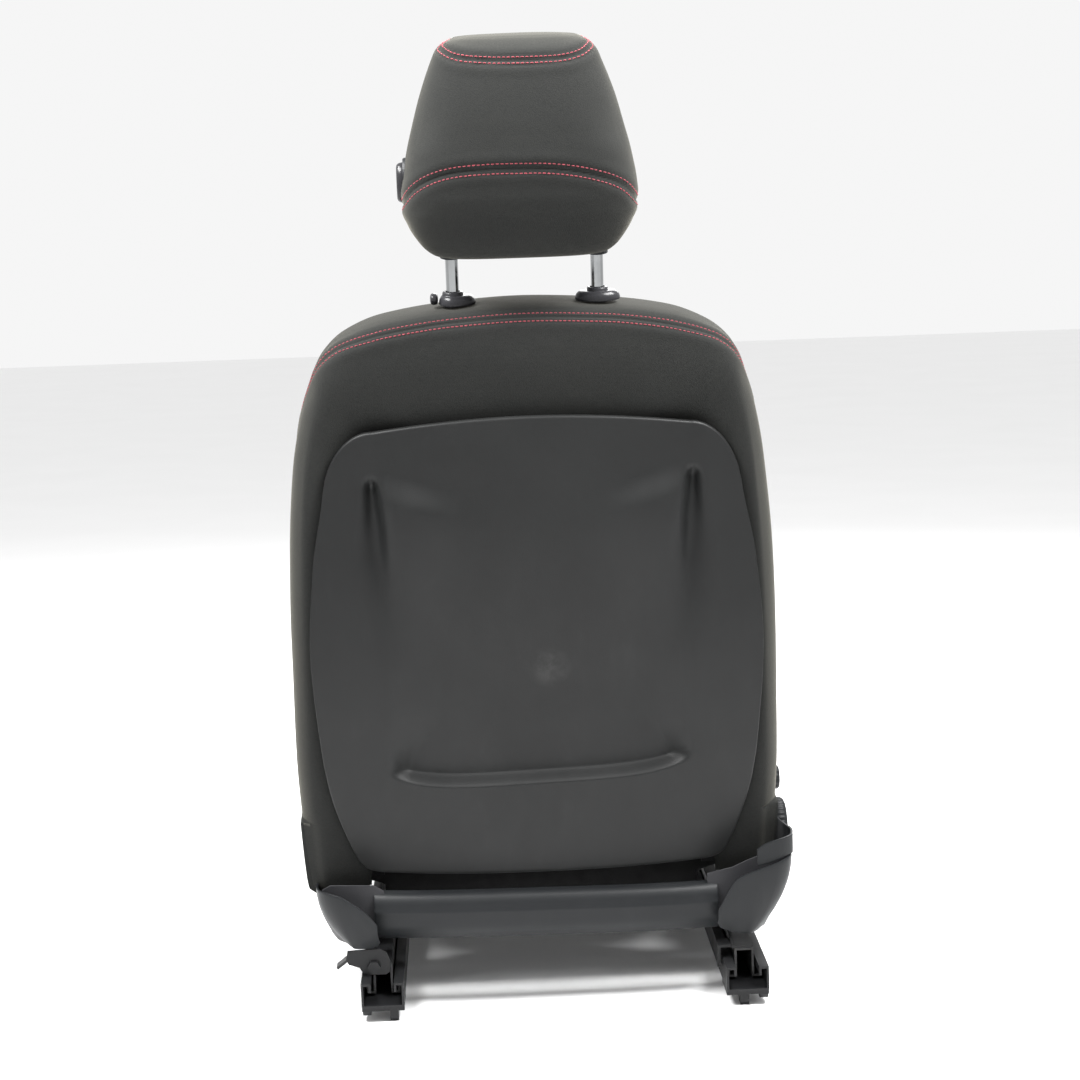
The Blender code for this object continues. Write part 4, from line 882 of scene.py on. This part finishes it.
def headrest_cover():
    rows = np.array(HEAD_SECTIONS)
    knots = chord(rows[:, :2])
    at = np.linspace(0.0, knots[-1], 190)
    values = curve(knots, rows, at)
    turns = once_round(220)
    even = turns - 0.16 * np.sin(4.0 * turns) / 2.0
    x, t = head_ring(values[:, 1:2], values[:, 2:3], values[:, 3:4], even[None, :])
    s = values[:, :1] * np.ones_like(x)
    grid = back_point(x, t, s)
    guard = smooth(0.697, 0.715, values[:, 0])
    grid = grid + swelling(grid, HEAD_SWELL, 4, 4) * guard[:, None, None]
    grid = grid + outward(grid) * (ripple(grid, 42.0, 0.0005) * guard[:, None])[..., None]
    levels = values[:, 0] + np.arange(len(values)) * 1e-7
    rearness = np.sin(even)
    cap, lower = (head_level_path(grid, levels, seam, rearness, front)
                  for seam, front in zip((HEAD_CAP_SEAM, HEAD_LOWER_SEAM), HEAD_SEAM_FRONT))
    guide = guide_of(grid)
    grid = pressed_seams(grid, [cap, lower], depth=0.0021, width=0.0016, crown=0.0008)
    surface = padded_cover("headrest_cover", grid, "headrest", 0.9, "headrest_foam")
    stitched("headrest_cap_stitching", surface, guide, cap, CAP_STITCHES, "headrest")
    stitched("headrest_lower_stitching", surface, guide, lower, BOTH_SIDES, "headrest")


def button_rings(steps):
    """Oval rings of the headrest's button and its surround, in the backrest's axes."""
    tilt_s, button_t, button_s = 0.75, 0.012 + POST_T, 0.026
    turns = once_round(48)
    rings = []
    for x, grow in steps:
        t = button_t + (0.015 + grow) * np.cos(turns)
        s = tilt_s + button_s + (0.0215 + grow) * np.sin(turns)
        rings.append(back_point(np.full_like(t, x), t, s))
    return rings


def headrest_button():
    face = ((0.104, -0.0002), (0.126, -0.0002), (0.1295, -0.001), (0.1315, -0.0026), (0.1322, -0.0045),
            (0.1318, -0.0075), (0.1312, -0.011))
    button = closed_piece("headrest_tilt_button", np.array(button_rings(face)), GLOSS, 50.0)
    place_piece(button, "tilt_button", "trim_plastic", "headrest_button")
    collar = ((0.112, 0.001), (0.1245, 0.001), (0.1252, 0.0016), (0.1252, 0.0034), (0.1235, 0.0044),
              (0.112, 0.0044))
    surround = looped_piece("headrest_button_surround", button_rings(collar), TRIM, 50.0)
    place_piece(surround, "headrest", "trim_plastic")


def guide_sleeve(side, sign):
    """Oval domed flange with a raised round collar where the post goes in."""
    x = sign * POST_X
    inner, outer, deep = 0.024, (0.015 if side == "left" else 0.024), 0.0172
    turns = once_round(72)
    reach = np.where(np.cos(turns) > 0.0, outer, inner)
    flange = ((1.0, 0.6425), (1.02, 0.644), (1.01, 0.6458), (0.96, 0.6486), (0.86, 0.651), (0.78, 0.652))
    rings = [back_point(x + scale * reach * np.cos(turns), POST_T + scale * deep * np.sin(turns), s)
             for scale, s in flange]
    tube = ((0.0118, 0.6524), (0.0114, 0.6532), (0.0112, 0.655), (0.0104, 0.656), (0.0086, 0.6562), (0.0076, 0.6552),
            (0.0074, 0.648), (0.0074, 0.556), (0.0098, 0.554), (0.01, 0.556), (0.01, 0.6425))
    rings += [back_point(x + radius * np.cos(turns), POST_T + radius * np.sin(turns), s) for radius, s in tube]
    sleeve = looped_piece(f"guide_sleeve_{side}_moulding", rings, GLOSS, 50.0)
    place_piece(sleeve, "backrest", "trim_plastic", "guide_sleeve_" + side)


def guide_button():
    """Small rounded push button at the outer end of the left sleeve."""
    low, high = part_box("guide_button")
    middle = np.array((low + high) / 2.0)
    turns = once_round(32)
    rings = []
    for share in np.linspace(-0.985, 0.985, 15):
        round_off = (1.0 - abs(share) ** 3.0) ** (1.0 / 3.0)
        rings.append(side_ring(middle[0] + share * (high.x - low.x) / 2.0, middle,
                               round_off * (high.y - low.y) / 2.0, round_off * (high.z - low.z) / 2.0, turns))
    button = closed_piece("height_lock_button", np.array(rings), GLOSS, 60.0)
    place_piece(button, "height_lock", "trim_plastic", "guide_button")


def turned_piece(name, middle, radius, profile, turns, groove):
    """A grooved knob or wheel: (x, share of the radius, depth of the grooves) along its axis."""
    rings = []
    for x, scale, depth in profile:
        reach = radius * scale - depth * groove
        rings.append(side_ring(x, middle, reach, reach, turns))
    return closed_piece(name, np.array(rings), TRIM, 50.0)


def lumbar_knob():
    """Short knob with finger flats on the backrest's outer side."""
    low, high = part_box("lumbar_knob")
    turns = once_round(120)
    flats = 0.5 + 0.5 * np.cos(12.0 * turns)
    full = 0.0009
    profile = ((high.x, 0.88, 0.0), (high.x - 0.0008, 0.97, 0.6 * full), (low.x + 0.0022, 0.97, full),
               (low.x + 0.001, 0.92, 0.6 * full), (low.x, 0.82, 0.0), (low.x + 0.0003, 0.6, 0.0),
               (low.x + 0.0014, 0.52, 0.0), (low.x + 0.0015, 0.2, 0.0))
    knob = turned_piece("lumbar_knob_moulding", np.array((low + high) / 2.0),
                        min(high.y - low.y, high.z - low.z) / 2.0, profile, turns, flats)
    place_piece(knob, "lumbar_control", "trim_plastic", "lumbar_knob")


# ---------------------------------------------------------------- cushion
LOFT_SAMPLES = 170


def seat_loft(stations, ring_of, counts, cap, shown, rear_guard):
    """A pad along the seat: a ring of points at each station, smoothed both ways and swelled as cloth."""
    y_knots = np.array([row[0] for row in stations])
    rings = np.array([ring_of(*row) for row in stations])
    run = chord(np.array([[row[0], 0.5 * row[2]] for row in stations]))
    at = np.linspace(0.0, run[-1], LOFT_SAMPLES)
    flat = curve(run, rings.reshape(len(stations), -1), at).reshape(LOFT_SAMPLES, rings.shape[1], 2)
    y = curve(run, y_knots, at)
    at_w, weights = ring_weights(rings.shape[1], counts)
    section = np.einsum("mk,ukc->umc", weights, flat)
    grid = seat_point(section[:, :, 0], y[:, None], section[:, :, 1])
    mask = band(at_w, *shown)[None, :] * (1.0 - smooth(*rear_guard, y))[:, None]
    grid = grid + swelling(grid, cap, 4, 3) * mask[..., None]
    calm = mask * smooth(-0.53, -0.5, y)[:, None]
    grid = grid + outward(grid) * (ripple(grid, 20.0, 0.001) * calm)[..., None]
    return grid, at_w, y


def cushion_middle():
    """Pad between the side rolls, with three sewn channels across it."""
    half = CUSHION_HALF
    stations = ((-0.5365, 0.21, 0.25), (-0.535, 0.196, 0.266), (-0.529, 0.182, 0.281), (-0.51, 0.17, 0.299),
                (-0.472, 0.1675, 0.3075), (-0.38, 0.167, 0.302), (-0.26, 0.167, 0.286),
                (-0.14, 0.167, 0.272), (-0.096, 0.168, 0.266), (-0.084, 0.173, 0.258),
                (-0.08, 0.185, 0.244))

    def ring_of(y, low, high):
        right = [(0.5 * half, low), (0.96 * half, low), (half, low + 0.008), (half, 0.5 * (low + high)),
                 (half, high - 0.018), (0.975 * half, high - 0.008), (0.88 * half, high - 0.002),
                 (0.5 * half, high + 0.002)]
        left = [(-x, z) for x, z in reversed(right)]
        return [(0.0, low)] + right + [(0.0, high + 0.003)] + left

    counts = (8, 8, 3, 4, 4, 4, 5, 12, 14, 14, 12, 5, 4, 4, 4, 3, 8, 8)
    grid, at_w, y = seat_loft(stations, ring_of, counts, CUSHION_SWELL, (4.5, 6.5, 11.5, 13.5), (-0.13, -0.09))
    across = (at_w > 5.6) & (at_w < 12.4)
    lines = [grid[np.abs(y - level).argmin()][across] for level in SEAT_CHANNELS]
    guide = guide_of(grid)
    grid = pressed_seams(grid, lines, depth=0.0034, width=0.0025, crown=0.0018)
    surface = padded_cover("cushion_middle_pad", capped(grid), "seat_frame", 0.8, "cushion_foam_centre")
    for i, line in enumerate(lines):
        stitched(f"cushion_channel_stitching_{i + 1}", surface, guide, line, (SEAM_TO_STITCH,), "seat_frame")


def cushion_roll(side, sign):
    """Raised side roll with a stitched line along its inner shoulder."""
    inner = ROLL_INNER
    stations = ((-0.53, 0.205, 0.252, 0.238), (-0.528, 0.194, 0.268, 0.246), (-0.517, 0.177, 0.292, 0.2565),
                (-0.48, 0.167, 0.315, 0.2635), (-0.37, 0.1668, 0.325, 0.2665), (-0.25, 0.1668, 0.32, 0.266),
                (-0.16, 0.1668, 0.302, 0.2645), (-0.12, 0.169, 0.284, 0.261), (-0.11, 0.176, 0.27, 0.254),
                (-0.108, 0.19, 0.256, 0.245))

    def ring_of(y, low, high, outer):
        k = min(1.0, (high - low) / 0.1)
        ring = [(inner, low + 0.002 * k), (0.5 * (inner + outer), low), (outer - 0.013, low + 0.001 * k),
                (outer - 0.002, low + 0.014 * k), (outer, 0.5 * (low + high)), (outer - 0.001, high - 0.04 * k),
                (outer - 0.01, high - 0.014 * k), (outer - 0.032, high), (outer - 0.058, high - 0.003 * k),
                (max(outer - 0.085, inner + 0.012), high - 0.016 * k), (inner + 0.004, min(high - 0.024 * k, 0.286)),
                (inner, min(high - 0.036 * k, 0.272)), (inner, low + 0.03 * k)]
        return [(sign * x, z) for x, z in ring]

    counts = (5, 5, 4, 8, 8, 8, 8, 8, 9, 9, 6, 4, 5)
    grid, at_w, _ = seat_loft(stations, ring_of, counts, ROLL_SWELL, (2.5, 4.0, 9.0, 10.2), (-0.15, -0.115))
    shoulder = path_on_ring(grid, at_w, np.full(len(grid), 9.35))
    edge = path_on_ring(grid, at_w, np.full(len(grid), 5.4))
    shoulder, edge = shoulder[6:-8], edge[6:-6]
    guide = guide_of(grid)
    grid = pressed_seams(grid, [shoulder, edge], depth=0.0022, width=0.0018, crown=0.0009)
    surface = padded_cover(f"cushion_side_roll_{side}", capped(grid), "seat_frame", 0.8, "cushion_bolster_" + side)
    stitched(f"cushion_roll_stitching_{side}", surface, guide, shoulder, BOTH_SIDES, "seat_frame")


def rear_flap():
    """Felt flap that hangs behind the rear cross tube and closes the cushion's underside."""
    low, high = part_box("cushion_rear_flap")
    rows, columns = 24, 90
    z = np.linspace(low.z - FLAP_HANG, high.z - 0.0005, rows)
    share = np.linspace(-1.0, 1.0, columns)
    reach = np.interp(z, (0.09, 0.112, 0.12, 0.1655), (0.187, 0.187, FLAP_HALF, FLAP_HALF))
    x = MID_X + reach[:, None] * share[None, :]
    mid_y = (low.y + high.y) / 2.0
    hang = (high.z - z)[:, None] / (high.z - low.z)
    y = mid_y + 0.001 * hang * np.sin(x * 62.0) + 0.0004 * np.sin(x * 151.0 + 1.0)
    grid = np.stack([x, y, z[:, None] * np.ones_like(x)], axis=-1)
    flap = shell_piece("cushion_felt_flap", grid, 0.0016, FELT, rim=0.0, offset=0.0, sharp=None)
    place_piece(flap, "seat_frame", "seat_fabric", "cushion_rear_flap")


# ---------------------------------------------------------------- moulded covers
# moulded covers seen from above: x, y, bottom, top, inward rake and forward tuck of the bottom edge
OUTER_PLAN = (
    (-0.222, -0.496, 0.112, 0.158, 0.0, 0.004), (-0.244, -0.494, 0.104, 0.16, 0.004, 0.004),
    (-0.258, -0.48, 0.096, 0.162, 0.008, 0.002), (-0.262, -0.43, 0.09, 0.163, 0.01, 0.0),
    (-0.2625, -0.28, 0.083, 0.163, 0.01, 0.0), (-0.2625, -0.12, 0.079, 0.16, 0.01, 0.0),
    (-0.262, -0.048, 0.077, 0.132, 0.009, 0.0), (-0.262, 0.0, 0.076, 0.126, 0.009, 0.0),
    (-0.264, 0.036, 0.077, 0.138, 0.012, 0.0), (-0.2755, 0.05, 0.077, 0.163, 0.026, 0.0),
    (-0.28, 0.064, 0.077, 0.165, 0.038, -0.002), (-0.276, 0.078, 0.077, 0.164, 0.04, -0.006),
    (-0.262, 0.089, 0.077, 0.16, 0.032, -0.01), (-0.24, 0.093, 0.078, 0.154, 0.018, -0.012),
    (-0.218, 0.092, 0.08, 0.145, 0.008, -0.012), (-0.206, 0.089, 0.083, 0.128, 0.002, -0.008),
    (-0.199, 0.088, 0.086, 0.115, 0.001, -0.006), (-0.195, 0.087, 0.092, 0.107, 0.0, -0.004),
)
INNER_PLAN = (
    (0.192, 0.089, 0.086, 0.108, -0.002, -0.008), (0.202, 0.092, 0.08, 0.122, -0.006, -0.012),
    (0.218, 0.092, 0.079, 0.135, -0.01, -0.012), (0.234, 0.089, 0.079, 0.144, -0.018, -0.01),
    (0.248, 0.08, 0.08, 0.146, -0.028, -0.006), (0.256, 0.066, 0.08, 0.145, -0.032, -0.002),
    (0.259, 0.042, 0.079, 0.143, -0.022, 0.0), (0.259, 0.0, 0.078, 0.146, -0.012, 0.0),
    (0.259, -0.12, 0.079, 0.16, -0.008, 0.0), (0.259, -0.28, 0.083, 0.163, -0.008, 0.0),
    (0.258, -0.43, 0.09, 0.163, -0.008, 0.0), (0.254, -0.48, 0.096, 0.162, -0.006, 0.002),
    (0.242, -0.494, 0.104, 0.16, -0.003, 0.004), (0.222, -0.496, 0.112, 0.158, 0.0, 0.004),
)
COVER_PLAN = (
    (-0.264, -0.044, 0.14, 0.188, 0.0, 0.0), (-0.266, -0.036, 0.134, 0.205, 0.0, 0.0),
    (-0.2662, -0.015, 0.132, 0.219, 0.0, 0.0), (-0.2662, 0.01, 0.132, 0.22, 0.0, 0.0),
    (-0.2662, 0.0335, 0.142, 0.208, 0.0, 0.0), (-0.269, 0.039, 0.154, 0.2, 0.0, 0.0),
    (-0.277, 0.046, 0.166, 0.193, 0.0, 0.0), (-0.2825, 0.058, 0.167, 0.19, 0.0, 0.0),
    (-0.281, 0.07, 0.1665, 0.188, 0.0, 0.0), (-0.274, 0.078, 0.1655, 0.187, 0.0, 0.0),
    (-0.264, 0.083, 0.162, 0.1855, 0.0, 0.0), (-0.25, 0.086, 0.1585, 0.182, 0.0, 0.0),
    (-0.24, 0.0865, 0.157, 0.176, 0.0, 0.0),
)


def plan_grid(plan, levels, samples):
    """The outer face of a moulded cover over its plan, bowed towards its lower edge."""
    rows = np.array(plan)
    run = chord(rows[:, :2])
    at = np.unique(np.concatenate([np.linspace(0.0, run[-1], samples), run]))
    x, y, low, high, rake, tuck = curve(run, rows, at).T
    share = np.linspace(0.0, 1.0, levels)[:, None]
    bow = (1.0 - share) ** 2
    return seat_point(x + rake * bow, y + tuck * bow, low + (high - low) * share)


def moulded_covers():
    for name, plan, node, levels, wall in (
            ("outer_shield_moulding", OUTER_PLAN, "outer_side_shield", 20, WALL),
            ("inner_shield_moulding", INNER_PLAN, "inner_side_shield", 20, WALL),
            ("recliner_cover_moulding", COVER_PLAN, "recliner_cover", 14, THIN_WALL)):
        shell = shell_piece(name, plan_grid(plan, levels, 260), wall, TRIM)
        place_piece(shell, "seat_frame", "trim_plastic", node)


SHIELD_WEBS = {
    # outlines (x, height) of the webs that close the shields' hollow rear corners
    "inner": ((0.183, 0.095), (0.22, 0.093), (0.239, 0.1), (0.2515, 0.126), (0.2535, 0.144),
              (0.244, 0.149), (0.195, 0.147), (0.183, 0.14)),
    "outer": ((-0.185, 0.095), (-0.247, 0.093), (-0.257, 0.1), (-0.271, 0.128), (-0.2765, 0.16),
              (-0.26, 0.168), (-0.23, 0.157), (-0.214, 0.15), (-0.185, 0.144)),
}


def shield_webs():
    """Stiffening webs across the hollow rear corners of the side shields, clear of the backrest's sweep."""
    for side, outline in SHIELD_WEBS.items():
        x, z = np.array(outline).T
        faces = np.array([seat_point(x, y, z) for y in WEB_FACES])
        web = closed_piece(f"{side}_shield_web", faces, CORE, 30.0)
        soften(web, 0.0005, 30.0)
        place_piece(web, "seat_frame", "core_plastic")


def rear_apron():
    """Curved skirt behind the cushion frame, creased a third of the way down."""
    profile = ((0.05, 0.079), (0.064, 0.0796), (0.075, 0.0866), (0.0824, 0.0985), (0.0844, 0.11),
               (0.085, 0.1155), (0.0842, 0.118), (0.0822, 0.1255), (0.0775, 0.1325), (0.072, 0.1352),
               (0.064, 0.1362))
    points = np.array(profile)
    run = chord(points)
    y, z = curve(run, points, np.linspace(0.0, run[-1], 90)).T
    share = np.linspace(-1.0, 1.0, 140)
    x = 0.196 * share[None, :] - 0.001 + 0.0 * y[:, None]
    grid = seat_point(x, y[:, None] - 0.01 * share[None, :] ** 4, z[:, None] + 0.0025 * share[None, :])
    apron = shell_piece("rear_apron_moulding", grid[::-1], WALL, TRIM)
    place_piece(apron, "seat_frame", "trim_plastic", "rear_apron")


def handwheel():
    """Ribbed handwheel with a dished face."""
    ribs, per_rib, full = 36, 6, 0.0011
    turns = once_round(ribs * per_rib)
    groove = 0.5 - 0.5 * np.cos(ribs * turns)
    low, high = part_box("recliner_handwheel")
    profile = ((high.x, 0.8, 0.0), (high.x, 0.94, 0.3 * full), (high.x - 0.0012, 0.985, full),
               (low.x + 0.005, 0.985, full), (low.x + 0.003, 0.955, 0.6 * full), (low.x + 0.001, 0.9, 0.1 * full),
               (low.x, 0.84, 0.0), (low.x + 0.0004, 0.76, 0.0), (low.x + 0.003, 0.68, 0.0),
               (low.x + 0.0036, 0.35, 0.0), (low.x + 0.003, 0.1, 0.0))
    wheel = turned_piece("recliner_wheel_moulding", PIVOT, (high.z - low.z) / 2.0, profile, turns, groove)
    place_piece(wheel, "recliner_drive", "trim_plastic", "recliner_handwheel")


def kept_nodes():
    """Gives every CAD node that stays its finish, and rounds its edges."""
    for obj in NODES.values():
        if obj.hide_render:
            continue
        for slot in obj.material_slots:
            slot.material = FINISHES[slot.material.name.split(".")[0]]
        obj.data.polygons.foreach_set("use_smooth", [True] * len(obj.data.polygons))
        soften(obj, CAD_EDGE, 40.0)


# ---------------------------------------------------------------- stage
LENS, SENSOR = 72.9, 36.0
VIEW_TURN, VIEW_RAISE, VIEW_ROLL = math.radians(1.8), math.radians(8.0), math.radians(2.0)
VIEW_DISTANCE = 2.4
VIEW_TARGET = Vector((0.0, 0.2714, 0.54))
SKY_STRENGTH = 0.92
FLOOR_REACH = 14.0
SOFTBOXES = (  # name, place, aimed at, size, power
    ("left_top_softbox", (0.85, 0.6, 1.8), (0.0, 0.27, 0.8), (0.9, 0.5), 80.0),
    ("right_top_softbox", (-0.85, 0.6, 1.8), (0.0, 0.27, 0.8), (0.9, 0.5), 80.0),
    ("front_softbox", (-0.6, -2.4, 2.0), (0.0, 0.0, 0.4), (1.8, 1.4), 50.0),
)


def camera():
    away = Vector((math.sin(VIEW_TURN) * math.cos(VIEW_RAISE), math.cos(VIEW_TURN) * math.cos(VIEW_RAISE),
                   math.sin(VIEW_RAISE)))
    right = (-away).cross(Vector((0.0, 0.0, 1.0))).normalized()
    up = right.cross(-away)
    across = math.cos(VIEW_ROLL) * right - math.sin(VIEW_ROLL) * up
    above = math.sin(VIEW_ROLL) * right + math.cos(VIEW_ROLL) * up
    place = VIEW_TARGET + away * VIEW_DISTANCE
    data = bpy.data.cameras.new("rear_view")
    data.lens, data.sensor_width = LENS, SENSOR
    data.clip_end = 60.0
    made = bpy.data.objects.new("rear_view", data)
    bpy.context.scene.collection.objects.link(made)
    turn = Matrix((across, above, away)).transposed().to_4x4()
    made.matrix_world = Matrix.Translation(place) @ turn
    bpy.context.scene.camera = made


def area_light(name, place, aim, size, power):
    data = bpy.data.lights.new(name, "AREA")
    data.shape = "RECTANGLE"
    data.size, data.size_y = size
    data.energy = power
    made = bpy.data.objects.new(name, data)
    bpy.context.scene.collection.objects.link(made)
    made.location = place
    made.rotation_euler = (Vector(aim) - Vector(place)).to_track_quat("-Z", "Y").to_euler()


def studio():
    bpy.context.scene.view_settings.view_transform = "Standard"
    world = bpy.data.worlds.new("studio")
    world.use_nodes = True
    backdrop = world.node_tree.nodes["Background"]
    backdrop.inputs["Color"].default_value = (1.0, 1.0, 1.0, 1.0)
    backdrop.inputs["Strength"].default_value = SKY_STRENGTH
    bpy.context.scene.world = world
    for light in SOFTBOXES:
        area_light(*light)
    floor_finish = Shader("pale_floor", 0.7)
    tone = floor_finish.noise(3.0)
    floor_finish.paint(floor_finish.blend(tone, (0.86, 0.86, 0.86), (0.9, 0.9, 0.9)))
    corners = [(FLOOR_REACH * x, FLOOR_REACH * y, 0.0) for x, y in ((-1, -1), (1, -1), (1, 1), (-1, 1))]
    new_object("floor", corners, [(0, 1, 2, 3)], floor_finish.material)


# ---------------------------------------------------------------- assembly
camera()
backrest_cover()
backrest_middle()
rear_panel()
headrest_cover()
headrest_button()
for hand, direction in (("left", 1.0), ("right", -1.0)):
    guide_sleeve(hand, direction)
    cushion_roll(hand, direction)
cushion_middle()
rear_flap()
moulded_covers()
shield_webs()
rear_apron()
handwheel()
guide_button()
lumbar_knob()
kept_nodes()
studio()
